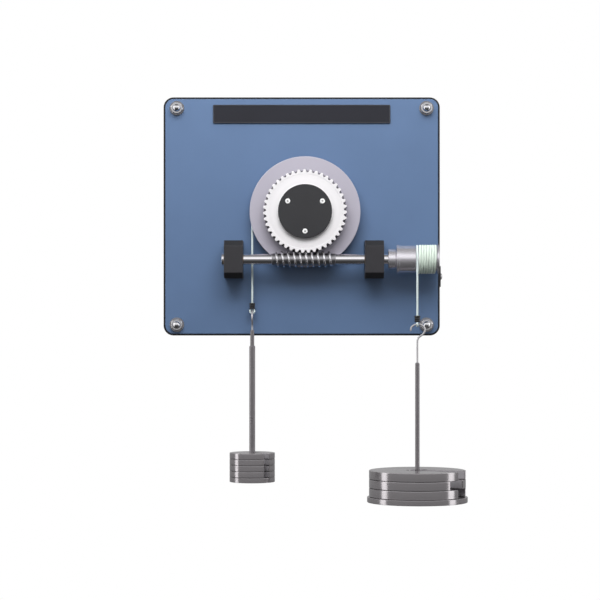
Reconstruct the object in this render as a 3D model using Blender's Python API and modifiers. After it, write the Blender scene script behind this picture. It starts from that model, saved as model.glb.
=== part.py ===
"""Worm and wheel lifting apparatus on a wall panel.

A single-start right-hand worm runs in two bearing blocks and turns a toothed
wheel.  A cord on the effort drum at the worm's right end turns the worm when
its weights fall, and a cord on the load drum behind the wheel lifts a load.

Frame: metres, +X to the right, +Z up, the viewer on the -Y side.  The origin
is the centre of the panel's back face, which lies flat on the wall (Y = 0).
Dimensions below are in millimetres and are scaled by MM where they are used.
"""
import math

import bmesh
import bpy
from mathutils import Vector

MM = 0.001
GAP = 0.3                      # clearance kept between touching pieces

# ---- panel -----------------------------------------------------------------
PANEL_W, PANEL_H, PANEL_R = 331.2, 285.6, 12.0
BOARD_T, SHEET_T, SHEET_INSET = 15.0, 1.5, 2.2
FRONT = BOARD_T + GAP + SHEET_T            # depth of the blue face
STRIP_W, STRIP_H, STRIP_T, STRIP_Z = 212.4, 22.2, 1.6, 122.6
FIX_X, FIX_Z = 149.5, 129.7                # corner fixings
STUD_R, NUT_AF, FLANGE_R = 3.9, 13.0, 8.6

# ---- worm and wheel --------------------------------------------------------
TEETH = 43
MODULE = 96.0 / TEETH
PITCH = math.pi * MODULE                   # axial pitch of the worm
WHEEL_X, WHEEL_Z = 4.0, 5.0
AXIS_Y = -45.0                             # worm axis and wheel mid-plane
WHEEL_RP = TEETH * MODULE / 2
WHEEL_TIP, WHEEL_ROOT, WHEEL_B = 49.6, 46.4, 10.0
TIP_HALF, ROOT_HALF = 1.6, 2.6             # half widths of a wheel tooth
CENTRES = 57.0
SHAFT_Z = WHEEL_Z - CENTRES
WORM_TIP, WORM_ROOT, WORM_BORE = 9.8, 7.0, 6.7
WORM_X0, WORM_X1 = -35.4, 40.2
CREST, FLANK = 1.4, 0.9                    # axial widths of crest and flank
LEAD_TAN = PITCH / (2 * math.pi * 8.6)
SHAFT_R, JOURNAL_R = 6.4, 5.0
SHAFT_X0, SHAFT_X1 = -94.8, 162.3

# ---- bearing blocks --------------------------------------------------------
BLOCK_W, BLOCK_H, BLOCK_FRONT, BLOCK_CH = 22.4, 45.0, 57.0, 6.5
BLOCK_XL, BLOCK_XR = -80.8, 86.2
BUSH_R = 8.0

# ---- load drum and its cord ------------------------------------------------
CORD_R = 1.2
DRUM_R, DRUM_BACK, DRUM_FRONT = 66.0, 22.0, 34.0
GROOVE_Y = 28.0
GROOVE_FLOOR = 58.9
COIL_R = 60.4                              # centre radius of the wound turn
LOAD_R = 63.0                              # centre radius of the leaving cord
LOAD_X = WHEEL_X - LOAD_R
CAP_R, CAP_PCR = 32.0, 23.7

# ---- effort drum and its cord ----------------------------------------------
SEAT_R = 14.9
EFFORT_R = 16.2                            # centre radius of the leaving cord
EFFORT_X = 136.4
EFFORT_Y = AXIS_Y - EFFORT_R
COIL_X0, COIL_X1, COIL_OUT = 138.0, 160.1, 17.4

# ---- hangers and weights ---------------------------------------------------
LOAD_FERRULE = (-103.8, -111.0)
EFFORT_FERRULE = (-118.6, -126.2)
WIRE_R = 1.1
LOAD_BASE_BOTTOM, LOAD_BASE_T, LOAD_R_OUT, LOAD_T, LOAD_N = -317.0, 6.0, 27.0, 6.9, 4
EFF_BASE_BOTTOM, EFF_BASE_T, EFF_BASE_R = -338.4, 6.4, 59.3
EFF_R_OUT, EFF_T, EFF_N = 57.0, 10.1, 3
LOAD_SLOT, LOAD_SLOT_DEG = 7.6, (42, 42, 42, 42)
EFF_SLOT, EFF_SLOT_DEG = 26.0, (68, 53, 68)


# ---- scene and materials ---------------------------------------------------
for old in list(bpy.data.objects):
    bpy.data.objects.remove(old, do_unlink=True)

parts = bpy.data.collections.new("worm_and_wheel_apparatus")
cutters = bpy.data.collections.new("cutters")
bpy.context.scene.collection.children.link(parts)
bpy.context.scene.collection.children.link(cutters)


def empty(name, x, y, z):
    e = bpy.data.objects.new(name, None)
    e.empty_display_size = 0.02
    e.location = (x * MM, y * MM, z * MM)
    parts.objects.link(e)
    return e


wheel_axis = empty("wheel_axis", WHEEL_X, AXIS_Y, WHEEL_Z)
worm_axis = empty("worm_axis", 0, AXIS_Y, SHAFT_Z)
load_line = empty("load_line", LOAD_X, -GROOVE_Y, LOAD_FERRULE[0])
effort_line = empty("effort_line", EFFORT_X, EFFORT_Y, EFFORT_FERRULE[0])


def finish(o, colour, metallic, rough, parent=None, smooth=True):
    """Gives a piece its own material, its place in the tree and its shading."""
    m = bpy.data.materials.new(o.name)
    m.use_nodes = True
    s = m.node_tree.nodes["Principled BSDF"]
    s.inputs["Base Color"].default_value = (*colour, 1)
    s.inputs["Metallic"].default_value = metallic
    s.inputs["Roughness"].default_value = rough
    o.data.materials.append(m)
    if parent is not None:
        o.parent = parent
        o.location = Vector(o.location) - parent.location
    if smooth and o.type == "MESH":
        o.data.shade_smooth()
    return o


STEEL = ((0.72, 0.72, 0.74), 1.0, 0.25)
BRIGHT = ((0.85, 0.85, 0.87), 1.0, 0.22)
GREY = ((0.42, 0.41, 0.46), 0.6, 0.45)
BLACK = ((0.03, 0.03, 0.035), 0.0, 0.45)
BRONZE = ((0.55, 0.36, 0.16), 1.0, 0.35)
CORD = ((0.72, 0.80, 0.76), 0.0, 0.8)
WEIGHT = ((0.38, 0.37, 0.39), 1.0, 0.35)

# rotations that turn a local +Z into the piece's own axis
ALONG_X = (0, math.pi / 2, 0)
ALONG_DEPTH = (math.pi / 2, 0, 0)          # local +Z points at the viewer (-Y)
UPRIGHT = (0, 0, 0)


def link(o, place, turn, cutter=False):
    o.location = Vector(place) * MM
    o.rotation_euler = turn
    (cutters if cutter else parts).objects.link(o)
    if cutter:
        o.hide_render = True
        o.display_type = "WIRE"
    return o


def turned(name, profile, place, turn, steps=32, cutter=False):
    """A turned piece: (radius, height) points of its half section, spun about local Z.

    A section that starts and ends on the axis is open there; any other is closed
    into a ring.  The points are put in the order that runs down the outer side.
    """
    ring = min(r for r, _ in (profile[0], profile[-1])) > 1e-6
    area = sum(a[0] * b[1] - b[0] * a[1] for a, b in zip(profile, profile[1:] + profile[:1]))
    if area > 0:
        profile = profile[::-1]
    mesh = bpy.data.meshes.new(name)
    n = len(profile)
    edges = [(i, i + 1) for i in range(n - 1)] + ([(n - 1, 0)] if ring else [])
    mesh.from_pydata([(r * MM, 0, h * MM) for r, h in profile], edges, [])
    o = link(bpy.data.objects.new(name, mesh), place, turn, cutter)
    s = o.modifiers.new("turn", "SCREW")
    s.steps = s.render_steps = steps
    s.use_merge_vertices = True
    s.merge_threshold = 0.00001
    s.use_smooth_shade = not cutter
    return o


def rod_profile(r, a, b, chamfer=0.0):
    c = chamfer
    if c:
        return [(0, b), (r - c, b), (r, b - c), (r, a + c), (r - c, a), (0, a)]
    return [(0, b), (r, b), (r, a), (0, a)]


def tube_profile(r_in, r_out, a, b, chamfer=0.0):
    c = chamfer
    if c:
        return [(r_in, b), (r_out - c, b), (r_out, b - c), (r_out, a + c), (r_out - c, a), (r_in, a)]
    return [(r_in, b), (r_out, b), (r_out, a), (r_in, a)]


def box(name, size, place, round_axis=None, radius=0.0, segments=6, cutter=False):
    """A block from a cube, its edges along one axis rounded."""
    mesh = bpy.data.meshes.new(name)
    bm = bmesh.new()
    bmesh.ops.create_cube(bm, size=1)
    bmesh.ops.scale(bm, vec=Vector(size) * MM, verts=bm.verts)
    if radius:
        edges = [
            e for e in bm.edges
            if abs((e.verts[0].co - e.verts[1].co).normalized()[round_axis]) > 0.99
        ]
        bmesh.ops.bevel(bm, geom=edges, offset=radius * MM, segments=segments,
                        profile=0.5, affect="EDGES")
    bm.to_mesh(mesh)
    bm.free()
    return link(bpy.data.objects.new(name, mesh), place, (0, 0, 0), cutter)


def cut(o, *tools):
    for t in tools:
        b = o.modifiers.new("cut_" + t.name, "BOOLEAN")
        b.operation = "DIFFERENCE"
        b.solver = "EXACT"
        b.object = t


def hole(name, r, a, b, place, turn, steps=16):
    return turned(name, rod_profile(r, a, b), place, turn, steps, cutter=True)


def smooth_route(points, per):
    """Points on a smooth curve through the given ones (Catmull-Rom)."""
    p = [Vector(q) for q in points]
    p = [2 * p[0] - p[1]] + p + [2 * p[-1] - p[-2]]
    out = []
    for i in range(1, len(p) - 2):
        for k in range(per):
            t = k / per
            out.append(0.5 * (2 * p[i] + (p[i + 1] - p[i - 1]) * t
                              + (2 * p[i - 1] - 5 * p[i] + 4 * p[i + 1] - p[i + 2]) * t * t
                              + (3 * p[i] - p[i - 1] - 3 * p[i + 1] + p[i + 2]) * t ** 3))
    return out + [p[-2]]


def wire(name, points, radius, origin):
    """A round wire or cord along world points (mm), its origin at origin."""
    c = bpy.data.curves.new(name, "CURVE")
    c.dimensions = "3D"
    c.bevel_depth = radius * MM
    c.bevel_resolution = 2
    c.use_fill_caps = True
    s = c.splines.new("POLY")
    s.points.add(len(points) - 1)
    for q, w in zip(s.points, points):
        q.co = (*((Vector(w) - Vector(origin)) * MM), 1)
    return link(bpy.data.objects.new(name, c), origin, (0, 0, 0))


def plate(name, outline, z0, z1, place):
    """A flat plate from an outline in X and Y, from height z0 to z1."""
    c = bpy.data.curves.new(name, "CURVE")
    c.dimensions = "2D"
    c.fill_mode = "BOTH"
    c.extrude = (z1 - z0) / 2 * MM
    s = c.splines.new("POLY")
    s.points.add(len(outline) - 1)
    for q, (x, y) in zip(s.points, outline):
        q.co = (x * MM, y * MM, 0, 1)
    s.use_cyclic_u = True
    return link(bpy.data.objects.new(name, c), (place[0], place[1], (z0 + z1) / 2), (0, 0, 0))


# ---- panel -----------------------------------------------------------------
back_board = box("back_board", (PANEL_W, BOARD_T, PANEL_H), (0, -BOARD_T / 2, 0), 1, PANEL_R, 6)
face_sheet = box("face_sheet", (PANEL_W - 2 * SHEET_INSET, SHEET_T, PANEL_H - 2 * SHEET_INSET),
                 (0, -FRONT + SHEET_T / 2, 0), 1, PANEL_R - SHEET_INSET, 6)
title_strip = box("title_strip", (STRIP_W, STRIP_T, STRIP_H),
                  (0, -FRONT - GAP - STRIP_T / 2, STRIP_Z), 1, 0.8, 2)
finish(title_strip, (0.035, 0.036, 0.045), 0.0, 0.5, smooth=False)

corner = 0
for sz in (1, -1):
    for sx in (-1, 1):
        corner += 1
        at = (sx * FIX_X, 0, sz * FIX_Z)
        cut(back_board, hole(f"cut_board_{corner}", STUD_R + GAP, -2, 40, at, ALONG_DEPTH, 12))
        cut(face_sheet, hole(f"cut_sheet_{corner}", STUD_R + GAP, 5, 40, at, ALONG_DEPTH, 12))
        stud = turned(f"corner_stud_{corner}", rod_profile(STUD_R, 0.5, FRONT + 8.5, 0.6), at, ALONG_DEPTH, 12)
        finish(stud, *STEEL)
        # a dome nut: flange, hexagon and ball, with a blind hole for the stud
        top = FRONT + GAP
        nut = turned(f"corner_nut_{corner}",
                     [(STUD_R + GAP, top), (FLANGE_R, top), (FLANGE_R, top + 1.0),
                      (6.9, top + 1.8), (6.9, top + 6.6)]
                     + [(6.0 * math.cos(a), top + 6.9 + 6.0 * math.sin(a))
                        for a in (0.0, 0.45, 0.9, 1.25)]
                     + [(0, top + 12.9), (0, top + 9.4), (STUD_R + GAP, top + 9.4)],
                     at, ALONG_DEPTH, 12)
        finish(nut, *BRIGHT)


# the spindle's spigot, the block screws and the edge screw go into the board
cut(back_board, hole("cut_board_spigot", 6.0 + GAP, 4.0, 30, (WHEEL_X, 0, WHEEL_Z), ALONG_DEPTH, 20))
cut(face_sheet, hole("cut_sheet_spigot", 6.0 + GAP, 5, 30, (WHEEL_X, 0, WHEEL_Z), ALONG_DEPTH, 20))

# ---- bearing blocks --------------------------------------------------------
screw_no = 0
for side, bx in (("left", BLOCK_XL), ("right", BLOCK_XR)):
    mesh = bpy.data.meshes.new(f"bearing_block_{side}")
    bm = bmesh.new()
    bmesh.ops.create_cube(bm, size=1)
    depth = BLOCK_FRONT - FRONT - GAP
    bmesh.ops.scale(bm, vec=Vector((BLOCK_W, depth, BLOCK_H)) * MM, verts=bm.verts)
    front_edges = [
        e for e in bm.edges
        if all(v.co.y < 0 for v in e.verts) and abs(e.verts[0].co.z - e.verts[1].co.z) < 1e-6
    ]
    bmesh.ops.bevel(bm, geom=front_edges, offset=BLOCK_CH * MM, segments=1, affect="EDGES")
    bm.to_mesh(mesh)
    bm.free()
    block = link(bpy.data.objects.new(f"bearing_block_{side}", mesh),
                 (bx, -(FRONT + GAP + depth / 2), SHAFT_Z), (0, 0, 0))
    cut(block, hole(f"cut_bore_{side}", BUSH_R + GAP, -20, 20, (bx, AXIS_Y, SHAFT_Z), ALONG_X, 20))
    for dz in (-13, 13):
        screw_no += 1
        at = (bx, 0, SHAFT_Z + dz)
        cut(block, hole(f"cut_tap_{screw_no}", 2.4 + GAP, 5, 29, at, ALONG_DEPTH, 12))
        cut(back_board, turned(f"cut_counterbore_{screw_no}",
                               [(0, 30), (2.4 + GAP, 30), (2.4 + GAP, 6.0), (4.8, 6.0), (4.8, -2), (0, -2)],
                               at, ALONG_DEPTH, 12, cutter=True))
        cut(face_sheet, hole(f"cut_sheet_tap_{screw_no}", 2.4 + GAP, 5, 30, at, ALONG_DEPTH, 12))
        screw = turned(f"block_screw_{screw_no}",
                       [(0, 28), (2.4, 28), (2.4, 5.6), (4.4, 5.6), (4.4, 0.6), (2.0, 0.6), (1.6, 2.6), (0, 2.6)],
                       at, ALONG_DEPTH, 12)
        finish(screw, (0.05, 0.05, 0.055), 1.0, 0.4)
    finish(block, *BLACK, smooth=False)
    bush = turned(f"shaft_bush_{side}",
                  tube_profile(JOURNAL_R + 0.15, BUSH_R, bx - BLOCK_W / 2 + 0.2, bx + BLOCK_W / 2 - 0.2),
                  (0, AXIS_Y, SHAFT_Z), ALONG_X, 20)
    finish(bush, *BRONZE)

# ---- small plate on the panel's right edge ---------------------------------
edge_at = (0, -BOARD_T / 2, -72.0)
edge_plate = box("edge_plate", (1.0, 12.0, 25.0), (PANEL_W / 2 + GAP + 0.5, edge_at[1], edge_at[2]), 0, 1.5, 2)
cut(edge_plate, hole("cut_edge_plate", 1.5 + GAP, 150, 190, edge_at, ALONG_X, 12))
cut(back_board, hole("cut_edge_board", 1.5 + GAP, 155, 190, edge_at, ALONG_X, 12))
edge_screw = turned("edge_screw",
                    [(0, 168.9), (2.2, 168.8), (3.9, 167.8), (3.9, 167.2), (1.5, 167.2), (1.5, 156.0), (0, 156.0)],
                    edge_at, ALONG_X, 12)
finish(edge_plate, *BLACK, smooth=False)
finish(edge_screw, *STEEL)
finish(back_board, (0.02, 0.02, 0.022), 0.0, 0.5, smooth=False)
finish(face_sheet, (0.13, 0.22, 0.40), 0.0, 0.35, smooth=False)

# ---- fixed spindle of the wheel --------------------------------------------
on_wheel = (WHEEL_X, 0, WHEEL_Z)
spindle_profile = [
    (0, 5.0), (6.0, 5.0), (6.0, FRONT + GAP), (20.0, FRONT + GAP), (20.0, FRONT + GAP + 2.6),
    (11.0, FRONT + GAP + 2.6), (11.0, 20.9), (7.0, 20.9), (7.0, 48.9), (2.7, 48.9), (2.7, 36.0), (0, 36.0),
]
wheel_spindle = turned("wheel_spindle", spindle_profile, on_wheel, ALONG_DEPTH, 24)
finish(wheel_spindle, *STEEL)
retaining_washer = turned("retaining_washer", tube_profile(2.7, 10.5, 49.2, 50.5), on_wheel, ALONG_DEPTH, 20)
finish(retaining_washer, *STEEL)
retaining_screw = turned("retaining_screw",
                         [(0, 52.8), (3.6, 52.8), (4.6, 51.9), (4.6, 50.8), (2.4, 50.8), (2.4, 38.0), (0, 38.0)],
                         on_wheel, ALONG_DEPTH, 16)
finish(retaining_screw, *STEEL)

# ---- wheel -----------------------------------------------------------------
wheel_bush = turned("wheel_bush", tube_profile(7.15, 9.0, 21.4, 48.8), on_wheel, ALONG_DEPTH, 24)
finish(wheel_bush, *BRONZE, wheel_axis)
wheel_hub = turned("wheel_hub", tube_profile(9.3, 14.0, 21.4, 48.8), on_wheel, ALONG_DEPTH, 24)
finish(wheel_hub, *STEEL, wheel_axis)

load_drum = turned("load_drum", [
    (14.3, DRUM_BACK), (DRUM_R, DRUM_BACK), (DRUM_R, GROOVE_Y - 3.2), (GROOVE_FLOOR, GROOVE_Y - 2.0), (GROOVE_FLOOR, GROOVE_Y + 2.0),
    (DRUM_R, GROOVE_Y + 3.2), (DRUM_R, DRUM_FRONT - 0.8), (DRUM_R - 0.8, DRUM_FRONT),
    (30.0, DRUM_FRONT), (30.0, 39.7), (14.3, 39.7),
], on_wheel, ALONG_DEPTH, 48)
finish(load_drum, *GREY, wheel_axis)


def tooth_outline(shift):
    """Points of the toothed rim, four to a tooth, with a gap at the bottom."""
    out = []
    for k in range(TEETH):
        mid = -math.pi / 2 + (k + 0.5) * 2 * math.pi / TEETH + shift
        for r, half in ((WHEEL_ROOT, -ROOT_HALF), (WHEEL_TIP, -TIP_HALF),
                        (WHEEL_TIP, TIP_HALF), (WHEEL_ROOT, ROOT_HALF)):
            a = mid + half / r
            out.append((r * math.cos(a), r * math.sin(a)))
    return out


def toothed_wheel(name):
    """The wheel: two toothed outlines, turned by the worm's lead, joined round a bore."""
    mesh = bpy.data.meshes.new(name)
    bm = bmesh.new()
    layers = []
    for y in (AXIS_Y + WHEEL_B / 2, AXIS_Y - WHEEL_B / 2):
        shift = -LEAD_TAN * (y - AXIS_Y) / WHEEL_RP
        rim = [bm.verts.new((x * MM, (y - AXIS_Y) * MM, z * MM)) for x, z in tooth_outline(shift)]
        bore = [bm.verts.new((14.3 * MM * math.cos(a), (y - AXIS_Y) * MM, 14.3 * MM * math.sin(a)))
                for a in (-math.pi / 2 + k * 2 * math.pi / TEETH + shift for k in range(TEETH))]
        layers.append((rim, bore))
    (rim0, bore0), (rim1, bore1) = layers
    n = len(rim0)
    for i in range(n):
        j = (i + 1) % n
        bm.faces.new((rim0[i], rim0[j], rim1[j], rim1[i]))
    for k in range(TEETH):
        m = (k + 1) % TEETH
        bm.faces.new((bore0[m], bore0[k], bore1[k], bore1[m]))
        for (rim, bore), back in (((rim0, bore0), True), ((rim1, bore1), False)):
            loop = [bore[k]] + rim[4 * k:4 * k + 4] + [rim[(4 * k + 4) % n], bore[m]]
            bm.faces.new(loop[::-1] if back else loop)
    bmesh.ops.recalc_face_normals(bm, faces=bm.faces)
    bm.to_mesh(mesh)
    bm.free()
    return link(bpy.data.objects.new(name, mesh), (WHEEL_X, AXIS_Y, WHEEL_Z), (0, 0, 0))


worm_wheel = toothed_wheel("worm_wheel")
hub_cap = turned("hub_cap", [
    (0, 54.8), (CAP_R - 0.8, 54.8), (CAP_R, 54.0), (CAP_R, 50.3), (12.5, 50.3), (12.5, 53.2), (0, 53.2),
], on_wheel, ALONG_DEPTH, 40)
for i, deg in enumerate((150, 30, 270), 1):
    a = math.radians(deg)
    at = (WHEEL_X + CAP_PCR * math.cos(a), 0, WHEEL_Z + CAP_PCR * math.sin(a))
    cut(hub_cap, turned(f"cut_cap_{i}", [
        (0, 60), (3.9, 60), (3.9, 54.4), (2.0 + GAP, 52.4), (2.0 + GAP, 45), (0, 45),
    ], at, ALONG_DEPTH, 12, cutter=True))
    cut(worm_wheel, hole(f"cut_wheel_{i}", 2.0 + GAP, 35, 56, at, ALONG_DEPTH, 12))
    cut(load_drum, hole(f"cut_drum_{i}", 2.0 + GAP, 35, 45, at, ALONG_DEPTH, 12))
    screw = turned(f"cap_screw_{i}", [
        (0, 54.6), (3.6, 54.6), (3.6, 54.3), (2.0, 52.5), (2.0, 36.0), (0, 36.0),
    ], at, ALONG_DEPTH, 12)
    finish(screw, *BRIGHT, wheel_axis)
finish(worm_wheel, *BRIGHT, wheel_axis, smooth=False)
finish(hub_cap, *BLACK, wheel_axis)


def cord_section(r, h, n=4):
    return [(r + CORD_R * math.cos(2 * math.pi * k / n), h + CORD_R * math.sin(2 * math.pi * k / n))
            for k in range(n)]


load_cord_winding = turned("load_cord_winding", cord_section(COIL_R, GROOVE_Y), on_wheel, ALONG_DEPTH, 48)
finish(load_cord_winding, *CORD, wheel_axis)

# ---- worm ------------------------------------------------------------------
on_worm = (0, AXIS_Y, SHAFT_Z)
worm_shaft = turned("worm_shaft", [
    (0, SHAFT_X1), (JOURNAL_R - 0.5, SHAFT_X1), (JOURNAL_R, SHAFT_X1 - 0.5),
    (JOURNAL_R, BLOCK_XR - BLOCK_W / 2 - 0.3), (SHAFT_R, BLOCK_XR - BLOCK_W / 2 - 0.3),
    (SHAFT_R, BLOCK_XL + BLOCK_W / 2 + 0.3), (JOURNAL_R, BLOCK_XL + BLOCK_W / 2 + 0.3),
    (JOURNAL_R, SHAFT_X0 + 0.5), (JOURNAL_R - 0.5, SHAFT_X0), (0, SHAFT_X0),
], on_worm, ALONG_X, 20)
finish(worm_shaft, *STEEL, worm_axis)


def worm_sleeve(name, n=20):
    """The worm: one helical ridge on a sleeve, run out to nothing at both ends."""
    base = 2 * FLANK + CREST
    start = WORM_X0 + 0.8
    m = int((WORM_X1 - 0.8 - base - start) / PITCH * n)
    # at the worm's top (90 degrees) a crest lies under the wheel's centre
    turn0 = math.pi / 2 - 2 * math.pi * (WHEEL_X - base / 2 - start) / PITCH
    bm = bmesh.new()

    def vert(x, r, i):
        a = turn0 + 2 * math.pi * i / n
        return bm.verts.new((x * MM, r * MM * math.cos(a), r * MM * math.sin(a)))

    cols = []
    for s in range(m + 1):
        rise = min(1.0, s / (n / 2), (m - s) / (n / 2))
        x = start + PITCH * s / n
        top = WORM_ROOT + (WORM_TIP - WORM_ROOT) * rise
        cols.append([vert(x + u, r, s) for u, r in
                     ((0, WORM_ROOT), (FLANK, top), (FLANK + CREST, top), (base, WORM_ROOT))])
    left = [vert(WORM_X0, WORM_ROOT, i) for i in range(n)]
    right = [vert(WORM_X1, WORM_ROOT, i) for i in range(n)]
    left_in = [vert(WORM_X0, WORM_BORE, i) for i in range(n)]
    right_in = [vert(WORM_X1, WORM_BORE, i) for i in range(n)]
    for s in range(m):
        a, b = cols[s], cols[s + 1]
        for j in range(3):
            bm.faces.new((a[j], a[j + 1], b[j + 1], b[j]))
        if s + n < m:
            bm.faces.new((a[3], cols[s + n][0], cols[s + n + 1][0], b[3]))
    for i in range(n):
        j = (i + 1) % n
        if i < n - 1:
            bm.faces.new((left[i], cols[i][0], cols[i + 1][0], left[j]))
        else:
            bm.faces.new([left[i], cols[i][0], cols[n][0]] + cols[0][::-1] + [left[j]])
        s = m - n + i
        p, q = s % n, (s + 1) % n
        if i > 0:
            bm.faces.new((cols[s][3], right[p], right[q], cols[s + 1][3]))
        else:
            bm.faces.new([cols[s][3]] + cols[m] + [right[p], right[q], cols[s + 1][3]])
        bm.faces.new((left_in[i], left[i], left[j], left_in[j]))
        bm.faces.new((right[i], right_in[i], right_in[j], right[j]))
        bm.faces.new((right_in[i], left_in[i], left_in[j], right_in[j]))
    bmesh.ops.recalc_face_normals(bm, faces=bm.faces)
    mesh = bpy.data.meshes.new(name)
    bm.to_mesh(mesh)
    bm.free()
    return link(bpy.data.objects.new(name, mesh), on_worm, (0, 0, 0))


worm = worm_sleeve("worm")
finish(worm, *STEEL, worm_axis, smooth=False)

end_collar = turned("end_collar", tube_profile(JOURNAL_R + GAP, 7.5, SHAFT_X0, BLOCK_XL - BLOCK_W / 2 - 0.3),
                    on_worm, ALONG_X, 20)
finish(end_collar, *BRIGHT, worm_axis)
HUB_X = 102.6
drum_spacer = turned("drum_spacer", tube_profile(JOURNAL_R + GAP, 6.5, BLOCK_XR + BLOCK_W / 2 + 0.3, HUB_X - 0.3),
                     on_worm, ALONG_X, 20)
finish(drum_spacer, *STEEL, worm_axis)

effort_drum = turned("effort_drum", [
    (JOURNAL_R + GAP, HUB_X), (11.4, HUB_X), (12.0, HUB_X + 0.6), (12.0, 111.0), (10.8, 111.4), (10.8, 112.4),
    (17.1, 112.4), (17.1, 115.6), (16.2, 115.6), (16.2, 134.8), (SEAT_R, 134.8), (SEAT_R, 160.4),
    (17.6, 160.4), (17.6, 162.6), (JOURNAL_R + GAP, 162.6),
], on_worm, ALONG_X, 32)
grub_at = (107.0, AXIS_Y, SHAFT_Z)
cut(effort_drum, hole("cut_grub", 2.0 + GAP, 2, 15, grub_at, (-math.pi / 2, 0, 0), 12))
finish(effort_drum, *STEEL, worm_axis)
grub_screw = turned("grub_screw", rod_profile(2.0, 5.4, 11.0, 0.4), grub_at, (-math.pi / 2, 0, 0), 12)
finish(grub_screw, (0.05, 0.05, 0.055), 1.0, 0.4, worm_axis)
effort_cord_winding = turned("effort_cord_winding",
                             tube_profile(SEAT_R + GAP, COIL_OUT, COIL_X0, COIL_X1),
                             on_worm, ALONG_X, 32)
finish(effort_cord_winding, *CORD, worm_axis)


# ---- hanging cords and hooks -----------------------------------------------
def hanging(prefix, line, x, y, top, ferrule, hook_foot, sideways):
    """Cord, ferrule, end loop and wire hook.  sideways: the hook opens along X, else along Y."""

    def at(u, z):
        return (x + u, y, z) if sideways else (x, y - u, z)

    f0, f1 = ferrule
    steps = max(2, round((top - f0) / 6.0))
    straight = [(x, y, top + (f0 + GAP - top) * k / steps) for k in range(steps + 1)]
    cord = wire(f"{prefix}_cord", straight, CORD_R, (x, y, top))
    finish(cord, *CORD, line)
    sleeve = turned(f"{prefix}_ferrule", rod_profile(3.6, f1, f0, 0.8), (x, y, 0), UPRIGHT, 12)
    finish(sleeve, *BLACK, line)
    # the loop stands across the hook: two legs and a half turn under the wire
    legs = f1 - GAP
    turn = legs - 2.0
    r = 2.7
    loop = [(-r, legs), (-r, turn)] + [
        (r * math.cos(math.pi + math.pi * k / 8), turn + r * math.sin(math.pi + math.pi * k / 8))
        for k in range(1, 8)] + [(r, turn), (r, legs)]
    pts = [(x, y + u, z) if sideways else (x + u, y, z) for u, z in loop]
    finish(wire(f"{prefix}_cord_loop", pts, CORD_R, (x, y, legs)), *CORD, line)
    # the hook's crown rests in the loop
    crown = turn - r + CORD_R + GAP + WIRE_R
    shape = [(-8.0, -8.4), (-6.6, -3.2), (0, 0), (6.4, -2.0), (9.0, -7.0), (6.6, -11.8), (1.6, -15.8), (0, -19.6)]
    route = smooth_route([(u, 0, crown + z) for u, z in shape], 3)
    pts = [at(p[0], p[2]) for p in route] + [at(0, hook_foot)]
    finish(wire(f"{prefix}_hook", pts, WIRE_R, (x, y, crown)), *STEEL, line)
    return crown


hanging("load", load_line, LOAD_X, -GROOVE_Y, WHEEL_Z, LOAD_FERRULE, -136.0, False)
hanging("effort", effort_line, EFFORT_X, EFFORT_Y, SHAFT_Z, EFFORT_FERRULE, -174.0, True)

load_rod = turned("load_rod", [
    (0, -136.3), (2.0, -136.3), (2.4, -136.7), (2.4, -155.0), (3.1, -155.0), (3.5, -155.4),
    (3.5, LOAD_BASE_BOTTOM + 0.2), (0, LOAD_BASE_BOTTOM + 0.2),
], (LOAD_X, -GROOVE_Y, 0), UPRIGHT, 16)
finish(load_rod, *STEEL, load_line)
effort_rod = turned("effort_rod", [
    (0, -174.3), (2.2, -174.3), (2.6, -174.7), (2.6, EFF_BASE_BOTTOM + 0.2), (0, EFF_BASE_BOTTOM + 0.2),
], (EFFORT_X, EFFORT_Y, 0), UPRIGHT, 16)
finish(effort_rod, *STEEL, effort_line)
load_base = turned("load_base", tube_profile(3.5 + GAP, LOAD_R_OUT, LOAD_BASE_BOTTOM, LOAD_BASE_BOTTOM + LOAD_BASE_T),
                   (LOAD_X, -GROOVE_Y, 0), UPRIGHT, 28)
finish(load_base, *WEIGHT, load_line)
effort_base = turned("effort_base", tube_profile(2.6 + GAP, EFF_BASE_R, EFF_BASE_BOTTOM, EFF_BASE_BOTTOM + EFF_BASE_T),
                     (EFFORT_X, EFFORT_Y, 0), UPRIGHT, 40)
finish(effort_base, *WEIGHT, effort_line)


def slotted(radius, width, deg, n_out, n_in):
    """Outline of a slotted disc: its slot opens deg degrees to the right of the front."""
    half = width / 2
    open_a = math.asin(half / radius)
    out = [(radius * math.cos(t), radius * math.sin(t))
           for t in (open_a + (2 * math.pi - 2 * open_a) * k / n_out for k in range(n_out + 1))]
    out += [(half * math.cos(t), half * math.sin(t))
            for t in (1.5 * math.pi - math.pi * k / n_in for k in range(n_in + 1))]
    a = math.radians(deg - 90)
    return [(px * math.cos(a) - py * math.sin(a), px * math.sin(a) + py * math.cos(a)) for px, py in out]


floor_z = LOAD_BASE_BOTTOM + LOAD_BASE_T
for k in range(LOAD_N):
    z0 = floor_z + GAP + k * (LOAD_T + GAP)
    disc = plate(f"load_weight_{k + 1}", slotted(LOAD_R_OUT, LOAD_SLOT, LOAD_SLOT_DEG[k], 30, 6),
                 z0, z0 + LOAD_T, (LOAD_X, -GROOVE_Y))
    finish(disc, *WEIGHT, load_line)
floor_z = EFF_BASE_BOTTOM + EFF_BASE_T
for k in range(EFF_N):
    z0 = floor_z + GAP + k * (EFF_T + GAP)
    disc = plate(f"effort_weight_{k + 1}", slotted(EFF_R_OUT, EFF_SLOT, EFF_SLOT_DEG[k], 36, 8),
                 z0, z0 + EFF_T, (EFFORT_X, EFFORT_Y))
    finish(disc, *WEIGHT, effort_line)
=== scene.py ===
"""Looks of the worm and wheel lifting apparatus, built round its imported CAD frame."""
import math

import bmesh
import bpy
import numpy as np
from mathutils import Matrix, Vector


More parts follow.
